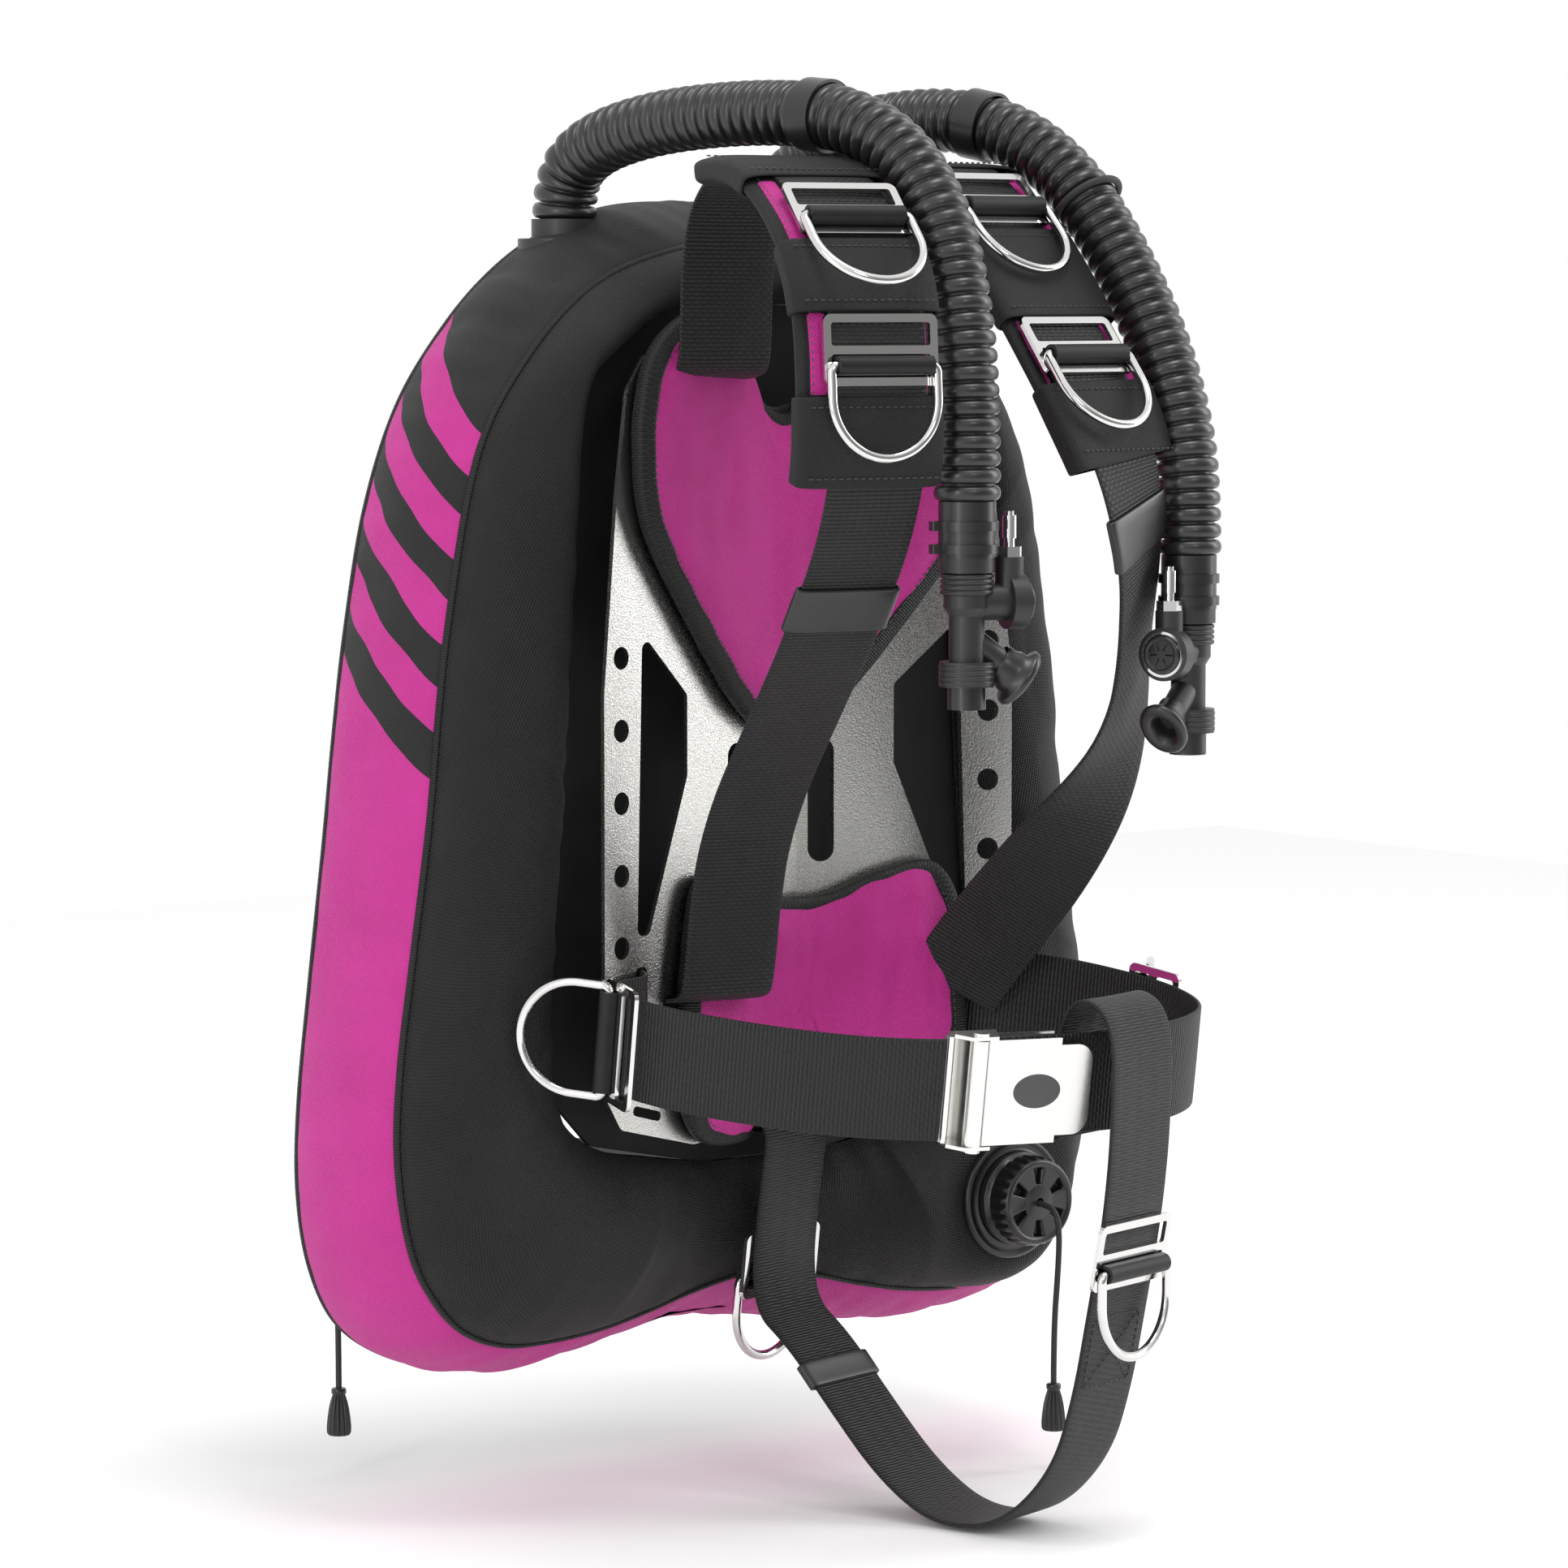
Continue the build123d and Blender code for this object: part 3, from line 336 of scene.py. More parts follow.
WEBBING, THICK = 50.8 * MM, 2.0 * MM
left_plane, right_plane, crotch_plane = Upright(-1, 54.4, 10), Upright(1, 54.4, 5), Upright(1, 0, 15)
belt_plane = Tilted((0, -40, -126), 7.5)
buckle = (-26, -156, np.radians(-10))


def on_belt(x):
    """A point on the buckle's centre line, in the belt's plane."""
    return (buckle[0] + x * np.cos(buckle[2]), buckle[1] + x * np.sin(buckle[2]))


left_route = [(-3, 186), (-3, 195.5), (32, 197), (44, 200), (47, 214), (48, 250), (58, 282), (90, 302),
              (130, 303), (166, 286), (196, 256), (207, 226), (210, 182), (209, 152), (190, 112), (150, 62),
              (98, 8), (68, -32), (56, -70), (50, -104), (44, -116.5), (-3, -118), (-3, -127)]
right_route = [(-3, 186), (-3, 195.5), (30, 197), (41, 200), (43, 214), (43, 250), (48, 288), (68, 305),
               (92, 292), (118, 264), (148, 226), (180, 184)]
left_waist_route = [(-84, 27), (-101, 23), (-104, 3), (-136, -1), (-143, -38), (-122, -88), (-74, -142), on_belt(-15)]
right_waist_route = [(84, 27), (101, 23), (104, 4), (128, -20), (145, -56), (151, -98), (140, -136),
                     (114, -156), (78, -166), on_belt(68), on_belt(4)]
crotch_route = [(1, -180), (19, -182), (13, -216), (6, -280), (31, -298), (58, -328), (90, -360), (124, -379),
                (164, -374), (196, -342), (209, -302), (217, -262), (226, -216), (231, -168), (231, -108),
                (195, -106), (196, -176)]


def strap(name, plane, route, width, look, seed, onward=()):
    """Webbing: a rounded slab carried along the route, with a slow sway of its edges.
    onward holds world points that carry on from the plane's route, each with the direction across the webbing."""
    flat = np.asarray(route, float)
    corners = np.hstack([plane.lift(flat), np.tile(plane.z, (len(flat), 1))])
    if len(onward):
        more = np.asarray(onward, float)
        corners = np.vstack([corners, np.hstack([more[:, :3] * MM, more[:, 3:]])])
    dense = rounded(corners)
    lengths = np.concatenate([[0], np.cumsum(np.linalg.norm(np.diff(dense[:, :3], axis=0), axis=1))])
    at = np.linspace(0, lengths[-1], 300)
    both = np.stack([np.interp(at, lengths, column) for column in dense.T], 1)
    path, across = both[:, :3], unit(both[:, 3:])
    profile = np.tile(slab(width, THICK), (len(path), 1, 1))
    sway = ripple(at, at * 0, 0.09, seed)[:, None] * 0.0005
    profile[..., 1] += sway * (profile[..., 0] / width * 2) ** 2
    piece = grid(name + "_webbing", carry(path, across, profile), look, around=True, caps=True)
    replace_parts(piece, name)
    return path, across


# The right shoulder strap leaves its plane under the lower ring, turns edge-on and sweeps in to the plate's slot.
right_sweep = [(76, -195, 146, -0.97, -0.25, 0), (88, -189, 110, -0.88, -0.47, 0), (97, -173, 66, -0.82, -0.57, 0),
               (104, -158, 26, -0.85, -0.5, 0.1), (106, -134, -12, -0.85, -0.2, 0.3), (103, -104, -46, -0.75, 0.2, 0.42),
               (98, -74, -78, -0.6, 0.42, 0.46), (94, -50, -103, -0.6, 0.42, 0.46), (90, -36, -122, -0.7, 0.4, 0.4)]
straps = {
    "shoulder_left": strap("shoulder_strap_left", left_plane, left_route, WEBBING, "webbing", 1),
    "shoulder_right": strap("shoulder_strap_right", right_plane, right_route, WEBBING, "webbing", 2, right_sweep),
    "waist_left": strap("waist_strap_left", belt_plane, left_waist_route, WEBBING, "webbing", 3),
    "waist_right": strap("waist_strap_right", belt_plane, right_waist_route, WEBBING, "webbing", 4),
    "crotch": strap("crotch_strap", crotch_plane, crotch_route, WEBBING, "crotch_webbing", 5),
}


# ---- frames on the webbing ----------------------------------------------------------------------------
def on_run(plane, route, run, outward, height, share=0.5):
    """Place on one straight run: its point, the way across the webbing, the way back along it, and the way off it."""
    start, end = np.array(route[run], float), np.array(route[run + 1], float)
    ahead = unit(end - start)
    normal = np.array([-ahead[1], ahead[0]]) * outward
    point = plane.lift([start + (end - start) * share + normal * height])[0]
    back = -(plane.x * ahead[0] + plane.y * ahead[1])
    off = plane.x * normal[0] + plane.y * normal[1]
    return point, np.cross(back, off), back, off


def nearest(strap_name, point):
    """Number of the strap's path point that lies nearest to a world point in metres."""
    return int(np.argmin(np.linalg.norm(straps[strap_name][0] - point, axis=1)))


def band(name, strap_name, middle, length, sides, faces, wall, look, seed=0, puff=0.0):
    """A band round a strap: a rounded box of a wall, from sides[0] to sides[1] across and faces[0] to faces[1] out,
    carried along the strap's path and rolled under at both ends."""
    path, across = straps[strap_name]
    step = np.linalg.norm(path[1] - path[0])
    place = np.arange(len(path)) * step
    share = np.array([-0.5, -0.5, -0.485, -0.45, -0.3, -0.1, 0.1, 0.3, 0.45, 0.485, 0.5, 0.5])
    grow = np.array([0, 0.55, 0.9, 1, 1, 1, 1, 1, 1, 0.9, 0.55, 0]) * wall
    at = np.clip(middle + share * length, 0, place[-1])
    line = np.stack([np.interp(at, place, column) for column in path.T], 1)
    side = np.stack([np.interp(at, place, column) for column in across.T], 1)
    ahead = tangents(path)
    ahead = unit(np.stack([np.interp(at, place, column) for column in ahead.T], 1))
    side = unit(side - ahead * (side * ahead).sum(1, keepdims=True))
    out = np.cross(ahead, side)
    turn = np.linspace(0, TURN, 64, endpoint=False)
    shape = np.stack([np.sign(np.cos(turn)) * np.abs(np.cos(turn)) ** 0.32, np.sign(np.sin(turn)) * np.abs(np.sin(turn)) ** 0.5], 1)
    half = np.array([(sides[1] - sides[0]) / 2, (faces[1] - faces[0]) / 2])
    centre = np.array([(sides[1] + sides[0]) / 2, (faces[1] + faces[0]) / 2])
    box = centre + shape[None] * (half + (grow[:, None] - wall * 0)[..., None] )
    swell = ripple(turn * 0.02, turn * 0, 0.03, seed)[None] * puff * (1 - (share * 2) ** 2)[:, None]
    box[..., 1] += swell * np.sign(shape[:, 1])
    points = line[:, None] + side[:, None] * box[..., :1] + out[:, None] * box[..., 1:]
    return grid(name, points, look, around=True)


THREAD = []


def stitch(points, length=0.0026, gap=0.0013, thick=0.00042):
    """Notes a row of stitches along a line of points; sew() makes them all."""
    points = np.asarray(points, float)
    total = np.linalg.norm(np.diff(points, axis=0), axis=1).sum()
    count = max(2, int(total / (length + gap)))
    line, _ = evenly(points, count * 8 + 1)
    for index in range(count):
        THREAD.append((line[index * 8], line[index * 8 + 5], thick))


def sew(name):
    """All noted stitches as one piece: each a six-sided spindle between its two ends."""
    if not THREAD:
        return
    start, end = np.array([t[0] for t in THREAD]), np.array([t[1] for t in THREAD])
    thick = np.array([t[2] for t in THREAD])[:, None, None, None]
    ahead = unit(end - start)
    one = unit(np.cross(ahead, [0.31, 0.52, 0.79]))
    two = np.cross(ahead, one)
    turn = np.linspace(0, TURN, 6, endpoint=False)
    ring = one[:, None] * np.cos(turn)[None, :, None] + two[:, None] * np.sin(turn)[None, :, None]
    share, size = np.array([0, 0.15, 0.85, 1.0]), np.array([0.15, 1, 1, 0.15])
    centre = start[:, None] + (end - start)[:, None] * share[None, :, None]
    points = centre[:, :, None] + ring[:, None] * size[None, :, None, None] * thick
    count = len(THREAD)
    index = np.arange(count * 24).reshape(count, 4, 6)
    index = np.concatenate([index, index[..., :1]], 2)
    faces = np.stack([index[:, :-1, :-1], index[:, :-1, 1:], index[:, 1:, 1:], index[:, 1:, :-1]], -1).reshape(-1, 4)
    mesh = bpy.data.meshes.new(name)
    mesh.from_pydata(points.reshape(-1, 3), [], faces.tolist())
    mesh.uv_layers.new(name="cut")
    mesh.materials.append(finish["thread"])
    piece = bpy.data.objects.new(name, mesh)
    bpy.context.scene.collection.objects.link(piece)
    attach(piece, "harness")
    THREAD.clear()


# ---- wing ---------------------------------------------------------------------------------------------
def loop_through(points, count):
    """Closed smooth line through points (Catmull-Rom), spaced evenly, starting at the first point."""
    p = np.asarray(points, float)
    before, here, after, beyond = np.roll(p, 1, 0), p, np.roll(p, -1, 0), np.roll(p, -2, 0)
    t = np.linspace(0, 1, 16, endpoint=False)[None, :, None]
    line = 0.5 * ((2 * here)[:, None] + (after - before)[:, None] * t
                  + (2 * before - 5 * here + 4 * after - beyond)[:, None] * t ** 2
                  + (3 * here - before - 3 * after + beyond)[:, None] * t ** 3)
    return evenly(line.reshape(-1, p.shape[1]), count, closed=True)[0]


def both_sides(half):
    """A right-hand outline from the top centre to the bottom centre, closed with its mirror image."""
    return half + [(-x, z) for x, z in reversed(half) if x > 0]


front_seam = both_sides([(0, 263), (36, 262), (66, 256), (91, 247), (112, 234), (136, 211), (162, 176), (176, 138),
                         (188, 76), (194, 32), (200, -24), (210, -90), (218, -145), (220, -189), (214, -230),
                         (203, -256), (184, -278), (158, -289), (128, -290), (97, -287), (68, -281), (36, -273),
                         (0, -268)])
rear_seam = both_sides([(0, 284), (38, 281), (72, 270), (104, 251), (134, 223), (164, 182), (184, 130), (196, 70),
                        (203, 20), (210, -40), (219, -110), (226, -170), (227, -215), (220, -255), (203, -286),
                        (170, -306), (132, -314), (98, -312), (60, -307), (28, -302), (0, -300)])
inner_edge = both_sides([(0, 232), (56, 231), (100, 206), (118, 184), (121, 110), (125, 20), (132, -80), (134, -150),
                         (126, -178), (104, -194), (70, -201), (36, -206), (0, -207)])
AROUND = 560
FRONT_Y, REAR_Y = 15.0, 95.0
fs, rs, ie = (loop_through(line, AROUND) for line in (front_seam, rear_seam, inner_edge))
seam_out = unit(np.stack([np.gradient(fs[:, 1]), -np.gradient(fs[:, 0])], 1))
inside_turn = np.sign((seam_out * (fs - [0, -20])).sum(1).mean())


def matched(line):
    """The line's points picked so that each lies at the same angle about a point inside the wing as the front seam's."""
    angle = lambda p: np.unwrap(np.arctan2(p[:, 0], p[:, 1] + 20))
    target, own = angle(fs), angle(line)
    own, line = np.append(own, own[0] + TURN), np.vstack([line, line[:1]])
    return np.stack([np.interp(target, own, column) for column in line.T], 1)


rs, ie = matched(rs), matched(ie)
along = np.concatenate([[0], np.cumsum(np.linalg.norm(np.diff(fs, axis=0), axis=1))])
side_way = np.abs(fs[:, 0])
low_middle = np.clip(1 - side_way / 105, 0, 1) * (fs[:, 1] < 0)       # 1 at the bottom centre
top_middle = np.clip(1 - side_way / 120, 0, 1) * (fs[:, 1] > 150)     # 1 at the top centre


def wing_part(name, start, end, start_y, end_y, bulge, lean, look, seed, rows, pucker, folds):
    """Cloth between two seams: the straight line between them plus a swell along a blend of depth and outward ways,
    a row of puckers that dies out away from the seams, and slow folds."""
    s = np.linspace(0, 1, rows)[None, :, None]
    flat = start[:, None] * (1 - s) + end[:, None] * s
    depth = start_y[:, None] * (1 - s[..., 0]) + end_y[:, None] * s[..., 0]
    swell = np.sin(np.pi * np.clip(s[..., 0], 0, 1)) ** 0.62 * bulge[:, None]
    outward = np.stack([np.gradient(fs[:, 1]), -np.gradient(fs[:, 0])], 1)
    outward = unit(outward) * np.sign((unit(outward) * (fs - [0, -20])).sum(1).mean())
    edge = np.minimum(s[..., 0], 1 - s[..., 0]) * np.linalg.norm(end - start, axis=1).mean()
    arc = np.broadcast_to(along[:, None], swell.shape)
    wave = ripple(arc, edge * 0, 26, seed, 9) * np.exp(-edge / 16) * pucker * np.clip(edge / 3, 0, 1)
    fold = ripple(arc * 0.8, edge * 1.5, 120, seed + 1) * folds * np.sin(np.pi * s[..., 0])
    crease = np.abs(ripple(arc, edge * 0.6, 75, seed + 2, 5)) * -folds * 0.9 * np.sin(np.pi * s[..., 0])
    rise = swell + wave + fold + crease
    points = np.stack([flat[..., 0] + outward[:, None, 0] * rise * (1 - abs(lean)),
                       depth + rise * lean,
                       flat[..., 1] + outward[:, None, 1] * rise * (1 - abs(lean))], -1)
    return name, points, look


front_swell = 30 - 24 * low_middle ** 0.7 - 8 * top_middle
front = wing_part("wing_front", ie, fs, np.full(AROUND, 7.0) + 4 * low_middle, np.full(AROUND, FRONT_Y), front_swell, -1.0,
                  "wing_cloth", 11, 46, 1.6, 2.2)
gusset = wing_part("wing_side", fs, rs, np.full(AROUND, FRONT_Y), np.full(AROUND, REAR_Y), np.full(AROUND, 9.0), 0.0,
                   "wing_magenta", 21, 34, 1.8, 1.8)
rear_edge = rs + (ie - rs) * 0.5
rear = wing_part("wing_rear", rs, ie, np.full(AROUND, REAR_Y), np.full(AROUND, 104.0), np.full(AROUND, 22.0), 1.0,
                 "wing_cloth", 31, 40, 1.8, 2.4)
inside = wing_part("wing_inside", ie, ie, np.full(AROUND, 104.0), np.full(AROUND, 13.5), np.full(AROUND, 3.0), 0.0,
                   "wing_cloth", 41, 18, 1.0, 0.5)


def settle(points):
    """Flattens the cloth under the two dump valves, so that their patches lie on it."""
    for centre, level in (((150, -240), -12.0), ((-160, -225), 124.0)):
        reach = np.hypot(points[..., 0] - centre[0], points[..., 2] - centre[1])
        same = np.abs(points[..., 1] - level) < 60
        hold = np.clip((58 - reach) / 24, 0, 1)
        hold = (hold * hold * (3 - 2 * hold)) * same
        points[..., 1] = points[..., 1] * (1 - hold) + level * hold
    return points


pieces = {}
for name, points, look in (front, rear, inside):
    pieces[name] = grid(name, settle(points) * MM, look, along=True)

# The side band: magenta up to the stripes, which climb across it; black above them.
name, points, look = gusset
points = settle(points)
pieces[name] = grid(name, points * MM, look, along=True)
side_cloth = pieces[name].data
height_at = np.array([vertex.co[2] for vertex in side_cloth.vertices]) / MM
band_across = np.tile(np.linspace(0, 1, points.shape[1]), points.shape[0])
climb = height_at - (1 - band_across) * 0 - band_across * 62
mark = side_cloth.attributes.new("climb", "FLOAT", "POINT")
mark.data.foreach_set("value", climb.astype(np.float32))


def striped_side():
    """Magenta weave below, black weave above, and four black ribbed stripes where the climb value falls in a stripe."""
    cloth = Finish("wing_side_cloth", Roughness=0.6, Sheen_Weight=0.04, Sheen_Roughness=0.4, Specular_IOR_Level=0.3)
    u, v = cloth.uv()
    threads = (u * (TURN / 0.0015)).sin() * (v * (TURN / 0.0015)).sin() * 0.5 + 0.5
    climb = cloth.node("ShaderNodeAttribute", {"attribute_name": "climb"}, out=2)
    cloud = cloth.noise(30, 4)
    tone = (threads * 0.6 + cloud * 0.5).clip()
    magenta, black = cloth.blend(tone, MAGENTA_DARK, MAGENTA), cloth.blend(tone, BLACK_DARK, (0.018, 0.018, 0.0185))
    stripes = climb.step(168)
    for low, high in ((-2, 21), (43, 64), (86, 106), (128, 147)):
        stripes = (stripes + climb.step(low) * (1 - climb.step(high))).clip()
    return cloth.shade(height=threads + cloud * 0.5, depth=0.0003, Base_Color=cloth.blend(stripes, magenta, black))


side_cloth.materials[0] = striped_side()


def piping(name, line, y, radius, look, inset=0.0):
    """Ribbed tape along a seam: a small flattened tube carried round it."""
    path = np.stack([line[:, 0], y + line[:, 0] * 0, line[:, 1]], 1) * MM
    across = np.tile([0.0, 1.0, 0.0], (len(path), 1))
    profile = np.tile(circle(radius * MM, 8) * [1.5, 1.0], (len(path), 1, 1))
    piece = grid(name, carry(path, across, profile, closed=True), look, around=True, along=True)
    return piece


piping("wing_front_piping", fs, FRONT_Y, 1.7, "binding")
piping("wing_rear_piping", rs, REAR_Y, 1.9, "binding")
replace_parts(pieces["wing_front"], "wing_shell")

# The two bladders: the wing's own sections drawn in towards their middles, and cut flat where the two bags meet.
section = np.concatenate([front[1][::4, ::3], gusset[1][::4, ::3], rear[1][::4, ::3], inside[1][::4, 1::4]], axis=1)
middle = section.mean(1, keepdims=True)
for name, keep in (("bladder_primary", np.minimum), ("bladder_backup", np.maximum)):
    bag = middle + (section - middle) * 0.84
    bag[..., 1] = keep(bag[..., 1], 55.6 if keep is np.minimum else 56.4)
    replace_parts(grid(name + "_bag", bag * MM, "film", around=True, along=True), name)


# ---- back pads ----------------------------------------------------------------------------------------
def lean(x):
    """How far forward the bent plate's face stands at a distance from its centre line, in millimetres."""
    return np.sqrt(np.clip(np.abs(x) - 10, 0, None) ** 2 + 30) * np.tan(np.radians(15.9)) - 1.6


for gap in (3.2,):
    inner = fs - unit(np.stack([np.gradient(fs[:, 1]), -np.gradient(fs[:, 0])], 1)) * gap * inside_turn
    stitch(np.stack([inner[:, 0], np.full(AROUND, FRONT_Y - 3.4), inner[:, 1]], 1) * MM, 0.0026, 0.0012, 0.0003)


def back_pad(name, outline, centre, seed, rear=-4.6, thick=9.5):
    """Padded cloth on the plate: rings from the outline to a centre, crowned by a quarter sine, with a bound edge."""
    edge = loop_through(outline, 300)
    s = np.linspace(0, 1, 40)[None, :, None]
    middle = np.array(centre, float)
    flat = edge[:, None] * (1 - s) + middle * s
    inward = s[..., 0] * np.linalg.norm(edge - middle, axis=1)[:, None]
    crown = np.sin(np.clip(inward / 26, 0, 1) * np.pi / 2) * 6.5
    wrinkle = (ripple(flat[..., 0], flat[..., 1] * 0.6, 46, seed) * 1.1
               + ripple(flat[..., 0] * 1.6, flat[..., 1] * 0.4, 24, seed + 1) * 0.5) * np.clip(inward / 20, 0, 1)
    y = rear - thick + 2.0 - crown - wrinkle - lean(flat[..., 0])
    face = np.stack([flat[..., 0], y, flat[..., 1]], -1)
    uv = flat * MM
    piece = grid(name, face * MM, "pad_magenta", along=True,
                 uv=np.concatenate([np.vstack([uv, uv[:1]])], 0))
    path = np.stack([edge[:, 0], rear - thick / 2 - lean(edge[:, 0]), edge[:, 1]], 1)
    ahead = tangents(path, True)
    out = unit(np.cross(ahead, np.array([0, 1.0, 0])))
    turn = np.linspace(0, TURN, 20, endpoint=False)
    shape = np.stack([np.sign(np.cos(turn)) * np.abs(np.cos(turn)) ** 0.6 * 5.6,
                      np.sign(np.sin(turn)) * np.abs(np.sin(turn)) ** 0.6 * thick / 2], 1)
    inside_way = np.sign(((middle - edge) * out[:, [0, 2]]).sum(1).mean())
    ring = (path[:, None] + out[:, None] * inside_way * (4.2 + shape[None, :, :1])
            + np.array([0, 1.0, 0]) * shape[None, :, 1:])
    arc = np.linspace(0, 60, 300)[:, None]
    ring[..., 1] += np.sin(arc * 3) * 0.15
    grid(name + "_binding", ring * MM, "binding", around=True, along=True)
    line = path + out * inside_way * 8.0 - [0, thick / 2 + 0.4, 0]
    stitch(np.vstack([line, line[:1]]) * MM, 0.0026, 0.0012, 0.0003)
    return piece


upper = both_sides([(0, 176), (16, 184), (27, 206), (42, 222), (68, 228), (95, 213), (107, 190), (110, 158), (103, 122),
                    (74, 80), (36, 34), (14, 18), (0, 15)])
lumbar = [(-62, -57), (-25, -68), (20, -72), (55, -60), (83, -57), (97, -84), (98, -120), (97, -150), (74, -185),
          (26, -192), (25, -173), (-25, -173), (-26, -191), (-58, -190), (-74, -172), (-76, -136), (-74, -100)]
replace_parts(back_pad("upper_back_pad", upper, (0, 112), 51), "upper_back_pad")
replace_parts(back_pad("lumbar_pad", lumbar, (10, -118), 61), "lumbar_pad")


# ---- shoulder pads, sleeves and keepers ---------------------------------------------------------------
def two_tone_pad():
    """Black weave, and magenta weave where the window value is above zero."""
    cloth = Finish("pad_two_tone", Roughness=0.6, Sheen_Weight=0.04, Sheen_Roughness=0.4, Specular_IOR_Level=0.3)
    u, v = cloth.uv()
    threads = (u * (TURN / 0.0017)).sin() * (v * (TURN / 0.0017)).sin() * 0.5 + 0.5
    cloud = cloth.noise(40, 3)
    tone = (threads * 0.7 + cloud * 0.4).clip()
    window = cloth.node("ShaderNodeAttribute", {"attribute_name": "window"}, out=2).step(0.0)
    return cloth.shade(height=threads + cloud * 0.5, depth=0.0003, Base_Color=cloth.blend(
        window, cloth.blend(tone, BLACK_DARK, BLACK), cloth.blend(tone, MAGENTA_DARK, MAGENTA)))


finish["pad_two_tone"] = two_tone_pad()


def shoulder_pad(name, strap_name, reach, start, stop, windows):
    """Padded strip under the webbing: a rounded box whose width closes in a quarter circle at both ends."""
    path, across = straps[strap_name]
    step = np.linalg.norm(path[1] - path[0])
    place = np.arange(len(path)) * step
    at = np.linspace(start, stop, 190)
    line = np.stack([np.interp(at, place, column) for column in path.T], 1)
    side = np.stack([np.interp(at, place, column) for column in across.T], 1)
    ahead = np.stack([np.interp(at, place, column) for column in tangents(path).T], 1)
    side = unit(side - ahead * (side * ahead).sum(1, keepdims=True))
    out = np.cross(ahead, side)
    from_end = np.minimum(at - start, stop - at)
    close = np.sqrt(np.clip(1 - np.clip(1 - from_end / 0.014, 0, 1) ** 2, 0.002, 1))
    turn = np.linspace(0, TURN, 72, endpoint=False)
    wide, tall = np.sign(np.cos(turn)) * np.abs(np.cos(turn)) ** 0.4, np.sign(np.sin(turn)) * np.abs(np.sin(turn)) ** 0.65
    half, centre = (reach[1] - reach[0]) / 2, (reach[1] + reach[0]) / 2
    c = centre + wide[None] * (half - 0.012 + 0.012 * close[:, None])
    edge = half - np.abs(c - centre)
    puff = ripple(np.broadcast_to(at[:, None], c.shape), c, 0.04, 3) * 0.0005 * (edge > 0.004)
    piping = 0.0008 * np.exp(-((edge - 0.0055) / 0.0012) ** 2)
    o = 0.0058 + tall[None] * (0.0042 * close[:, None] + puff - piping)
    points = line[:, None] + side[:, None] * c[..., None] + out[:, None] * o[..., None]
    piece = grid(name, points, "pad_two_tone", around=True, caps=True)
    open_ = np.full(c.shape, -1.0)
    for low, high in windows:
        open_ = np.maximum(open_, np.minimum(at - low, high - at)[:, None] + 0 * c)
    window = np.minimum(np.minimum(open_, np.abs(c) - 0.0262), edge - 0.0062)
    mark = piece.data.attributes.new("window", "FLOAT", "POINT")
    mark.data.foreach_set("value", window.ravel().astype(np.float32))
    for way in (-1, 1):
        row = line + side * (centre + way * (half - 0.0068)) + out * 0.0009
        stitch(row[8:-8], 0.0026, 0.0012, 0.0003)
    return piece


def sleeve(name, strap_name, start, stop, reach, seed):
    """Stitched cloth sleeve round the webbing and its pad."""
    piece = band(name, strap_name, (start + stop) / 2, stop - start, reach, (-0.0014, 0.0108), 0.0011, "pad_black",
                 seed, 0.0006)
    path, across = straps[strap_name]
    place = np.arange(len(path)) * np.linalg.norm(path[1] - path[0])
    ahead = tangents(path)
    for at in (start + 0.005, stop - 0.005):
        point, side, way = (np.array([np.interp(at, place, column) for column in rows.T]) for rows in (path, across, ahead))
        out = np.cross(way, unit(side))
        share = np.linspace(-0.93, 0.93, 12)[:, None]
        middle, half = (reach[0] + reach[1]) / 2, (reach[1] - reach[0]) / 2
        stitch(point + unit(side) * (middle + share * half) - out * 0.0028, 0.0026, 0.0013, 0.00035)
    return piece


for side_name, plane, upper_ring, lower_ring, outer in (("left", left_plane, (181.0, 271.0), (208.5, 204.0), 1),
                                                        ("right", right_plane, (105.0, 278.0), (164.0, 205.0), -1)):
    own = f"shoulder_{side_name}"
    step = np.linalg.norm(straps[own][0][1] - straps[own][0][0])
    high, low = (nearest(own, plane.lift([ring])[0]) * step for ring in (upper_ring, lower_ring))
    reach = (-0.034, 0.041) if outer > 0 else (-0.041, 0.034)
    wrap = (reach[0] - 0.0006, reach[1] + 0.0006)
    first = high - 0.098 if side_name == "left" else high - 0.078
    pad = shoulder_pad(f"{own}_pad", own, reach, first, low + 0.054,
                       [(high - 0.036, high + 0.011), (low - 0.027, low + 0.012)])
    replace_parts(pad, f"shoulder_pad_{side_name}")
    sleeve(f"{own}_sleeve_top", own, first + 0.006, high - 0.036, wrap, 71)
    sleeve(f"{own}_sleeve_middle", own, high + 0.012, low - 0.027, wrap, 72)
    sleeve(f"{own}_sleeve_end", own, low + 0.013, low + 0.056, wrap, 73)

keepers = [("shoulder_left", left_plane.lift([(170.0, 87.0)])[0], 0.0254, 0.026),
           ("shoulder_right", np.array([0.0825, -0.1915, 0.121]), 0.0254, 0.026),
           ("crotch", crotch_plane.lift([(44.5, -313.0)])[0], 0.0254, 0.014)]
for own, point, half, length in keepers:
    step = np.linalg.norm(straps[own][0][1] - straps[own][0][0])
    keeper = band(f"keeper_{own}", own, nearest(own, point) * step, length, (-half - 0.0012, half + 0.0012),
                  (-0.0018, 0.0018), 0.0013, "smooth_rubber", 5, 0.0004)
    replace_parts(keeper, "strap_keepers")

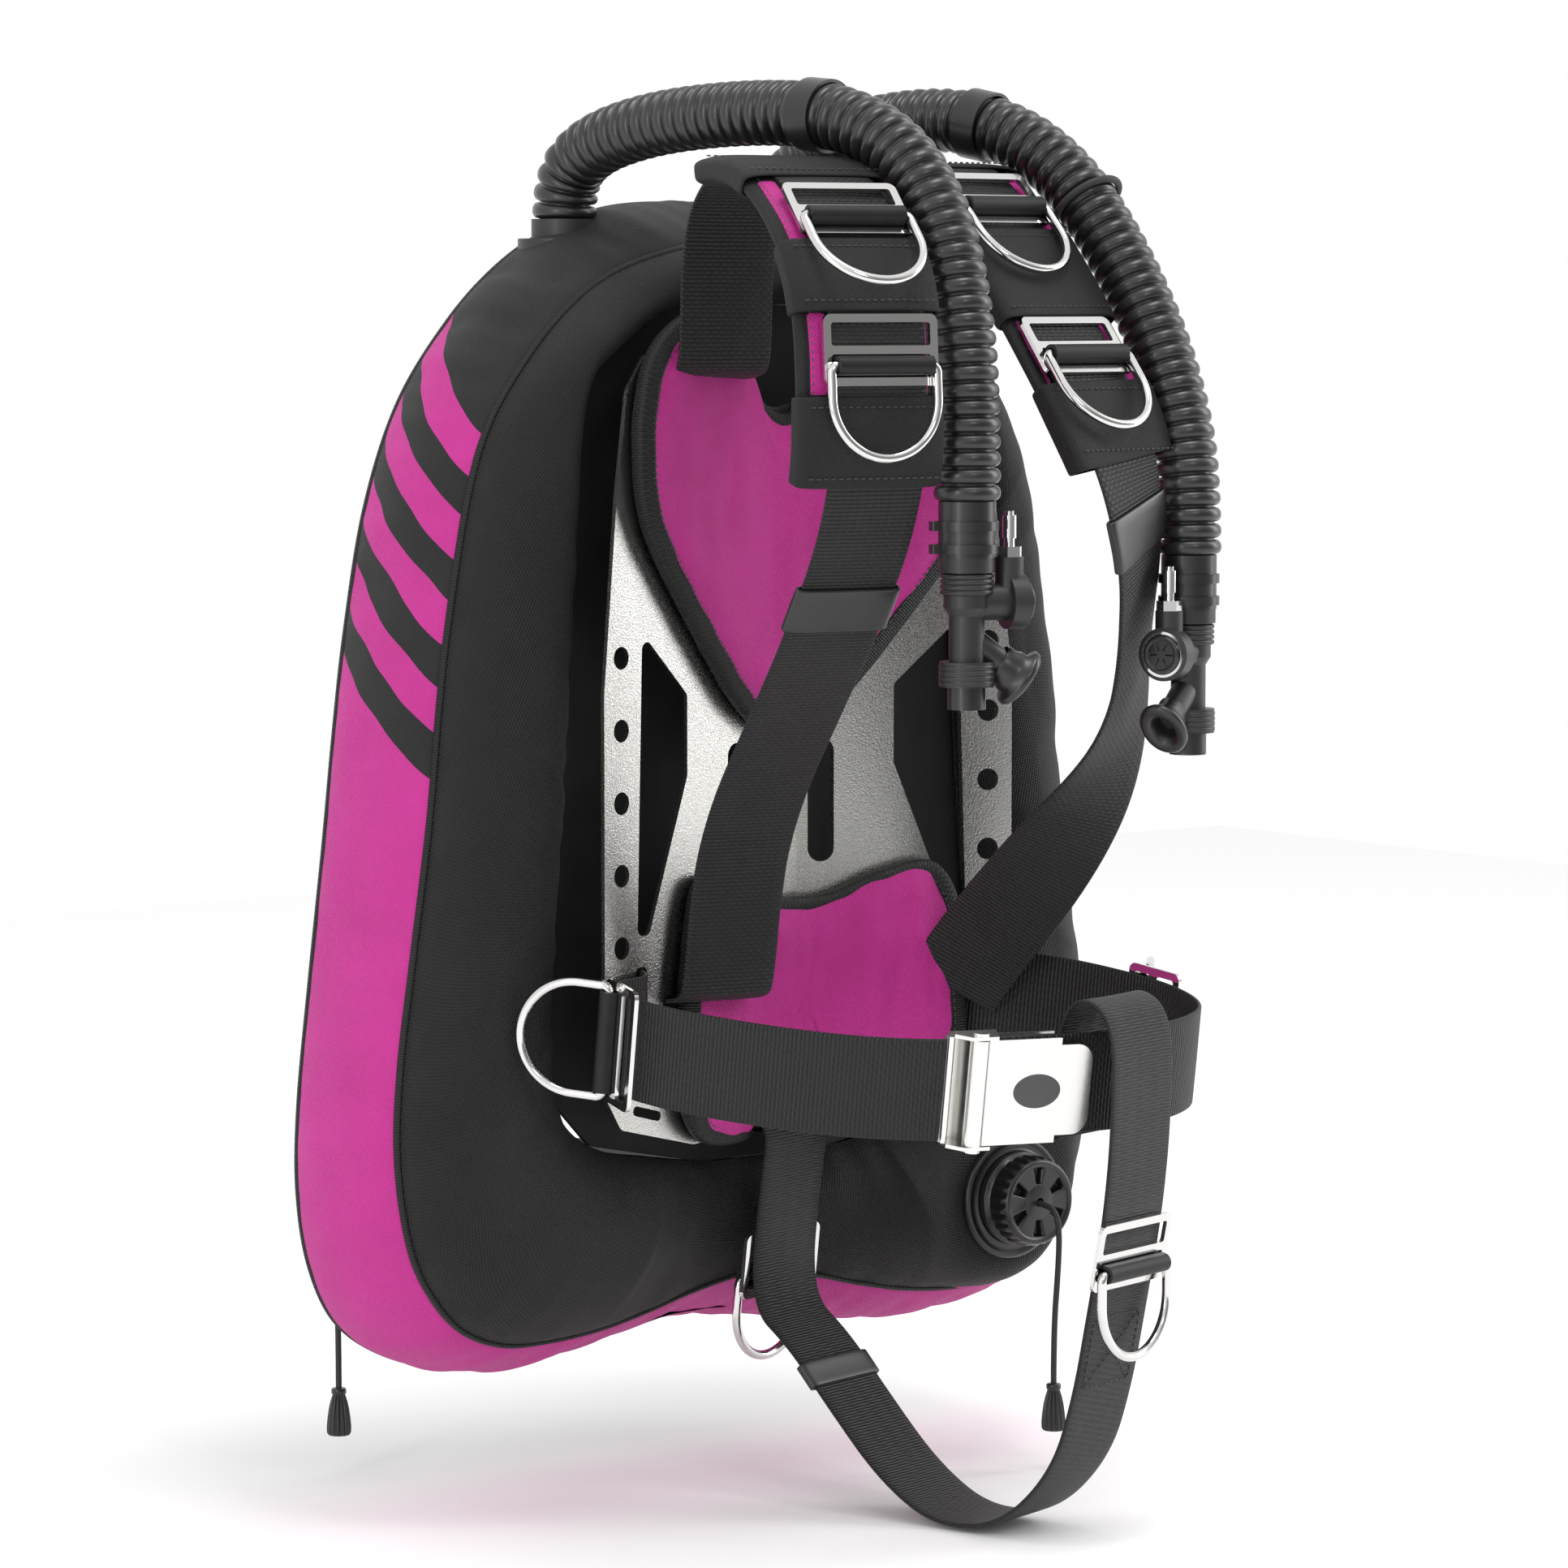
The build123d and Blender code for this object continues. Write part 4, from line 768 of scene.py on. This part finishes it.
# Stitched tail of the crotch strap: a box with a cross, on both faces.
path, across = straps["crotch"]
step = np.linalg.norm(path[1] - path[0])
tail = nearest("crotch", crotch_plane.lift([(213.0, -282.0)])[0])
for a, b in (((-1, 0), (-1, 1)), ((1, 0), (1, 1)), ((-1, 0), (1, 0)), ((-1, 1), (1, 1)), ((-1, 0), (1, 1)), ((-1, 1), (1, 0))):
    share = np.linspace(0, 1, 14)[:, None]
    along_it = (a[1] + (b[1] - a[1]) * share[:, 0]) * 0.036 - 0.018
    index = np.clip(tail + (along_it / step).round().astype(int), 0, len(path) - 1)
    ahead = tangents(path)[index]
    out = np.cross(ahead, unit(across[index]))
    sideways = (a[0] + (b[0] - a[0]) * share) * 0.0195
    for face in (-1, 1):
        stitch(path[index] + unit(across[index]) * sideways + out * face * 0.00105, 0.0026, 0.0013, 0.0004)


# ---- hoses --------------------------------------------------------------------------------------------
left_hose_route = [(-73, 79, 276), (-73, 79, 296), (-70, 60, 313), (-64, 18, 323), (-57, -34, 327), (-50, -80, 327),
                   (-42, -122, 323), (-35, -157, 304), (-33, -183, 270), (-34, -197, 228), (-34, -202, 182),
                   (-34, -202, 139)]
right_hose_route = [(73, 82, 276), (73, 82, 296), (77, 62, 315), (88, 22, 326), (99, -22, 328), (110, -60, 320),
                    (118, -93, 299), (123, -120, 268), (126, -146, 230), (127, -166, 192), (127, -179, 150),
                    (127, -179, 108)]
front_pull_route = [(150, -24.5, -240), (150, -43, -240.5), (150, -50, -244), (149.8, -53, -254),
                    (148.5, -53.5, -274), (147, -52, -304), (147, -52, -334)]
rear_pull_route = [(-160, 136.5, -225), (-160, 155, -225.5), (-160.2, 162, -229), (-160.6, 165, -239),
                   (-161, 165.5, -262), (-160.5, 164, -298), (-160.5, 164, -334)]


def spline_points(route):
    """Points along the route's NURBS line, in metres."""
    curve = bpy.data.curves.new("route", "CURVE")
    curve.dimensions, curve.resolution_u = "3D", 24
    spline = curve.splines.new("NURBS")
    spline.points.add(len(route) - 1)
    spline.points.foreach_set("co", [part for point in route for part in (*[c * MM for c in point], 1.0)])
    spline.order_u, spline.use_endpoint_u = 3, True
    carrier = bpy.data.objects.new("route", curve)
    line = bpy.data.meshes.new_from_object(carrier)
    points = np.empty(len(line.vertices) * 3)
    line.vertices.foreach_get("co", points)
    bpy.data.objects.remove(carrier)
    bpy.data.curves.remove(curve)
    return points.reshape(-1, 3)


def ribbed_hose(name, route, diameter, pitch, depth):
    """Corrugated hose: a tube whose radius is a row of round ribs; a thin mould line stands on both sides."""
    line = spline_points(route)
    length = np.linalg.norm(np.diff(line, axis=0), axis=1).sum()
    ribs = round(length / pitch)
    path, at = evenly(line, ribs * 10 + 1)
    across = np.cross(tangents(path), [0.0, 1.0, 0.25])
    phase = (at / length * ribs) % 1
    radius = diameter / 2 - depth * (1 - np.sqrt(np.clip(1 - np.abs(2 * phase - 1) ** 2.2, 0, 1)))
    turn = np.linspace(0, TURN, 40, endpoint=False)
    seam = 0.00035 * np.exp(-(np.sin(turn + 0.6) / 0.07) ** 2)
    size = radius[:, None] + seam[None] * (radius[:, None] > diameter / 2 - depth * 0.6)
    profile = np.stack([np.cos(turn) * size, np.sin(turn) * size], -1)
    hose = grid(name, carry(path, across, profile), "hose_rubber", around=True, caps=True)
    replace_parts(hose, name)
    return hose, line, length


for name, route in (("hose_left", left_hose_route), ("hose_right", right_hose_route)):
    hose, line, length = ribbed_hose(name, route, 32.5 * MM, 8.0 * MM, 4.0 * MM)


# ---- pull cords and their knobs -----------------------------------------------------------------------
def turned(name, place, axis, profile, look, body, flutes=0, depth=0.0, flute_from=0.0, flute_to=1.0, count=72):
    """A turned shape about an axis; flutes cut a cosine row into its radius between two shares of its profile."""
    axis = np.asarray(axis, float)
    first = unit(np.cross(axis, [0.0, 1, 0] if abs(axis[1]) < 0.9 else [1.0, 0, 0]))
    second = np.cross(axis, first)
    turn = np.linspace(0, TURN, count, endpoint=False)
    radius, height = np.array(profile, float).T
    share = np.linspace(0, 1, len(radius))
    cut = ((share >= flute_from) & (share <= flute_to))[:, None] * depth * (0.5 - 0.5 * np.cos(turn * flutes))[None] ** 2
    size = np.clip(radius[:, None] - cut, 0.02, None)
    points = (np.asarray(place, float) + height[:, None, None] * axis
              + (np.cos(turn)[:, None] * first + np.sin(turn)[:, None] * second) * size[..., None])
    return grid(name, points * MM, look, body, around=True)


for end, route, valve_y, way in (("front", front_pull_route, -12, -1), ("rear", rear_pull_route, 124, 1)):
    body = f"dump_pull_{end}"
    x, y, z = route[-1]
    knob = turned(f"knob_{end}", (x, y, z), (0, 0, -1),
                  [(0.05, 0), (3.4, 0), (3.9, 0.6), (3.9, 2.6), (3.3, 3.2), (3.6, 4.2), (4.5, 7), (5.4, 11), (6.1, 16),
                   (6.5, 20.5), (6.4, 23.4), (5.6, 24.7), (0.05, 24.9)], "smooth_rubber", body,
                  flutes=14, depth=1.0, flute_from=0.4, flute_to=0.86, count=112)
    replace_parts(knob, f"pull_knob_{end}")
    curve = bpy.data.curves.new(f"pull_cord_{end}", "CURVE")
    curve.dimensions, curve.bevel_depth, curve.bevel_resolution, curve.resolution_u = "3D", 1.6 * MM, 4, 10
    curve.use_fill_caps = True
    spline = curve.splines.new("NURBS")
    spline.points.add(len(route) - 1)
    spline.points.foreach_set("co", [part for point in route for part in (*[c * MM for c in point], 1.0)])
    spline.order_u, spline.use_endpoint_u = 3, True
    curve.materials.append(finish["cord"])
    cord = bpy.data.objects.new(f"pull_cord_{end}", curve)
    bpy.context.scene.collection.objects.link(cord)
    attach(cord, body)
    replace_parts(cord, f"pull_cord_{end}")


# ---- dump valves --------------------------------------------------------------------------------------
def disc(name, place, axis, radii, height, look, body="harness", count=144):
    """A disc seen from its front: heights given by a function of radius and angle, in millimetres."""
    axis = np.asarray(axis, float)
    first = unit(np.cross(axis, [0.0, 0, 1] if abs(axis[2]) < 0.9 else [1.0, 0, 0]))
    second = np.cross(axis, first)
    turn = np.linspace(0, TURN, count, endpoint=False)
    r, t = np.meshgrid(radii, turn, indexing="ij")
    points = (np.asarray(place, float) + height(r, t)[..., None] * axis
              + (np.cos(t)[..., None] * first + np.sin(t)[..., None] * second) * r[..., None])
    return grid(name, points * MM, look, body, around=True)


def cap_face(r, t):
    """Domed hub, six deep windows between spokes, and a rim."""
    spoke = np.clip((np.abs(((t * 6 / TURN) % 1) - 0.5) * 2 - 0.30) / 0.10, 0, 1)
    ring = np.clip((r - 9.6) / 0.9, 0, 1) * np.clip((18.6 - r) / 0.9, 0, 1)
    dome = 24.8 - 0.9 * (r / 9) ** 2 * (r < 9) - 0.9 * (r >= 9)
    return dome - 5.5 * ring * (1 - spoke)


for end, (x, z), y, way in (("front", (150, -240), -12, -1), ("rear", (-160, -225), 124, 1)):
    axis = (0, way, 0)
    patch = turned(f"patch_{end}", (x, y, z), axis,
                   [(13.0, 2.0), (21.5, 3.0), (24.0, 3.1), (24.6, 3.8), (25.4, 3.9), (26.0, 3.2), (29.2, 3.2), (29.8, 4.0),
                    (31.2, 4.0), (32.2, 3.2), (32.8, 1.8), (33.0, -1.5)], "smooth_rubber", "harness", count=96)
    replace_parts(patch, "valve_patches")
    rim = turned(f"valve_rim_{end}", (x, y, z), axis,
                 [(19.0, 24.0), (20.2, 25.1), (21.4, 25.0), (22.4, 24.0), (22.8, 22.6), (23.6, 21.6), (23.9, 19.8), (23.9, 12.6),
                  (23.4, 11.2), (22.2, 10.6), (22.0, 9.6), (24.6, 9.0), (25.0, 8.0), (24.8, 5.6), (24.0, 3.0)],
                 "smooth_plastic", "harness", flutes=26, depth=1.5, flute_from=0.3, flute_to=0.6, count=208)
    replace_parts(rim, "valve_caps")
    face = disc(f"valve_face_{end}", (x, y, z), axis, np.concatenate([[2.4], np.linspace(2.5, 19.4, 48)]), cap_face,
                "smooth_plastic")


# ---- inflators ----------------------------------------------------------------------------------------
def oval(name, place, axis, profile, wide, tall, look):
    """A turned shape whose circles are stretched: wide along the level direction and tall along the other."""
    axis = unit(np.asarray(axis, float))
    first = unit(np.cross(axis, [0.0, 0, 1]))
    second = np.cross(axis, first)
    turn = np.linspace(0, TURN, 72, endpoint=False)
    radius, height = np.array(profile, float).T
    points = (np.asarray(place, float) + height[:, None, None] * axis
              + (np.cos(turn)[:, None] * first * wide + np.sin(turn)[:, None] * second * tall) * radius[:, None, None])
    return grid(name, points * MM, look, around=True)


def star(r, t):
    """Button face: six narrow slots that run out from a small hub, inside a low rim."""
    slot = np.clip(1 - np.abs(np.sin(t * 3)) * np.clip(r, 1, 20) / 1.1, 0, 1) * (r > 2.2) * (r < 6.6)
    return 5.5 - 1.1 * slot + 0.5 * np.clip((r - 7.4) / 0.5, 0, 1) - 2.5 * np.clip((r - 9.0) / 0.8, 0, 1) ** 2


for side_name, (x, y, z), ahead in (("left", (-34, -202, 112), (0.96, -0.28, 0)), ("right", (127, -179, 81), (-0.92, -0.39, 0))):
    origin, ahead, up = np.array([x, y, z], float), unit(np.array(ahead, float)), np.array([0, 0, 1.0])
    button = disc(f"button_face_{side_name}", origin + ahead * 26 - up * 21.5, ahead,
                  np.concatenate([[0.05], np.linspace(0.3, 9.8, 46)]), star, "smooth_plastic",
                  f"inflate_button_{side_name}")
    skirt = turned(f"button_skirt_{side_name}", origin + ahead * 26 - up * 21.5, ahead,
                   [(9.8, 3.6), (9.8, 0.0), (0.05, 0.0)], "smooth_plastic", f"inflate_button_{side_name}")
    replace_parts(button, f"inflate_button_{side_name}")
    normal = ahead * 0.8 - up * 0.6
    mouth = oval(f"mouthpiece_{side_name}", origin - up * 38 + normal * 20, normal,
                 [(7.4, 0), (8.2, 1), (8.2, 5), (9.4, 7.5), (9.6, 10.5), (12.6, 12.2), (13.4, 13.6), (13.2, 15.2), (12.2, 16.4),
                  (9.2, 16.6), (7.2, 15.4), (5.6, 10), (5.2, 4), (0.05, 4)], 0.92, 1.14, "smooth_rubber")
    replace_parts(mouth, "inflator_mouthpieces")
    for number, (top, radius) in enumerate(((-8.0, 12.0), (-51.5, 12.6))):
        ribs = [(radius - 2.5, top + 1)]
        for k in range(4):
            ribs += [(radius, top + 0.4 - k * 2.6), (radius + 0.9, top - 0.1 - k * 2.6), (radius + 0.9, top - 1.5 - k * 2.6),
                     (radius, top - 2.0 - k * 2.6)]
        turned(f"grip_{side_name}_{number}", origin, up, ribs + [(radius - 2.5, top - 10.5)], "speckled_plastic",
               "harness", count=64)


sew("stitching")

# ---- finishes of the carried-over pieces --------------------------------------------------------------
looks = {
    "plate_steel": ["backplate"],
    "ring_steel": [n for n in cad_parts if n.startswith("d_ring")] + ["webbing_slides", "pad_fasteners", "wing_grommets"],
    "buckle_steel": ["buckle_frame", "buckle_plate", "buckle_pin"],
    "badge_plastic": ["buckle_badge"],
    "chrome": ["inflator_nipples", "button_retainers", "button_springs", "valve_spring_front", "valve_spring_rear"],
    "webbing": ["ring_loops"],
    "pad_black": ["shoulder_pad_left", "shoulder_pad_right", "wing_centre_panel"],
    "smooth_rubber": ["strap_keepers", "hose_cuffs", "hose_bands"],
    "speckled_plastic": ["inflator_body_left", "inflator_body_right", "hose_elbow_left", "hose_elbow_right", "valve_seats",
                         "valve_caps"],
    "smooth_plastic": ["inflate_button_left", "inflate_button_right", "deflate_button_left", "deflate_button_right",
                       "cable_ties", "valve_poppet_front", "valve_poppet_rear"],
    "film": ["bladder_primary", "bladder_backup"],
    "cord": ["hose_bungee"],
}
for look, names in looks.items():
    for name in names:
        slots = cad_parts[name].material_slots
        for slot in slots:
            slot.material = finish[look]


# ---- floor, light and camera --------------------------------------------------------------------------
def floor():
    """Pale floor just under the lowest piece."""
    low = min(corner[2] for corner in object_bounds()) - 0.002
    mesh = bpy.data.meshes.new("floor")
    mesh.from_pydata([(-2, -2, low), (2.6, -2, low), (2.6, 2.6, low), (-2, 2.6, low)], [], [(0, 1, 2, 3)])
    paper = Finish("floor_paper", Base_Color=(0.94, 0.94, 0.94, 1), Roughness=0.95)
    mesh.materials.append(paper.material)
    ground = bpy.data.objects.new("floor", mesh)
    bpy.context.scene.collection.objects.link(ground)
    ground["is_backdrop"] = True


def softbox(name, place, aim, size, power):
    """Square area light at a place, turned towards an aim."""
    light = bpy.data.lights.new(name, "AREA")
    light.shape, light.size, light.size_y, light.energy = "RECTANGLE", size[0], size[1], power
    lamp = bpy.data.objects.new(name, light)
    bpy.context.scene.collection.objects.link(lamp)
    back = unit(np.array(place, float) - np.array(aim, float))
    side = unit(np.cross([0, 0, 1.0], back))
    up = np.cross(back, side)
    lamp.matrix_world = Matrix([[side[i], up[i], back[i], place[i]] for i in range(3)] + [[0, 0, 0, 1]])


def studio():
    """Camera to the left of the diver's side, pale surroundings, a large key on the right and softer fills."""
    azimuth, elevation, distance = np.radians(-37), np.radians(5), 2.9
    back = np.array([np.sin(azimuth) * np.cos(elevation), -np.cos(azimuth) * np.cos(elevation), np.sin(elevation)])
    right = np.array([np.cos(azimuth), np.sin(azimuth), 0])
    up = np.cross(back, right)
    place = back * distance + right * 0.00667 - up * 0.0129
    lens = bpy.data.cameras.new("camera")
    lens.sensor_width, lens.lens = 36, 129.7
    eye = bpy.data.objects.new("camera", lens)
    bpy.context.scene.collection.objects.link(eye)
    eye.matrix_world = Matrix([[right[i], up[i], back[i], place[i]] for i in range(3)] + [[0, 0, 0, 1]])
    bpy.context.scene.camera = eye
    world = bpy.data.worlds.new("studio")
    bpy.context.scene.world = world
    world.use_nodes = True
    # White all round, and darker in front of the diver's side, so that polished steel has something to reflect.
    nodes, links = world.node_tree.nodes, world.node_tree.links
    here, dot, ramp = nodes.new("ShaderNodeTexCoord"), nodes.new("ShaderNodeVectorMath"), nodes.new("ShaderNodeMapRange")
    dot.operation = "DOT_PRODUCT"
    dot.inputs[1].default_value = unit(np.array([0.25, -0.95, -0.2]))
    for socket, value in zip(range(1, 5), (0.45, 0.90, 1.0, 0.28)):
        ramp.inputs[socket].default_value = value
    links.new(here.outputs["Generated"], dot.inputs[0])
    links.new(dot.outputs["Value"], ramp.inputs[0])
    links.new(ramp.outputs[0], nodes["Background"].inputs["Strength"])
    nodes["Background"].inputs[0].default_value = (1, 1, 1, 1)
    bpy.context.scene.view_settings.view_transform = "Standard"
    softbox("key_right", (2.2, -0.9, 0.9), (0, 0, 0), (0.8, 2.0), 22)
    softbox("fill_left", (-2.4, -0.9, 0.7), (0, 0, 0), (0.5, 2.0), 15)
    softbox("top", (0.1, -0.7, 2.3), (0, 0, 0), (1.0, 0.7), 18)
    softbox("front", (-0.6, -2.6, 1.4), (0, 0, -0.05), (0.5, 0.5), 7)


floor()
studio()
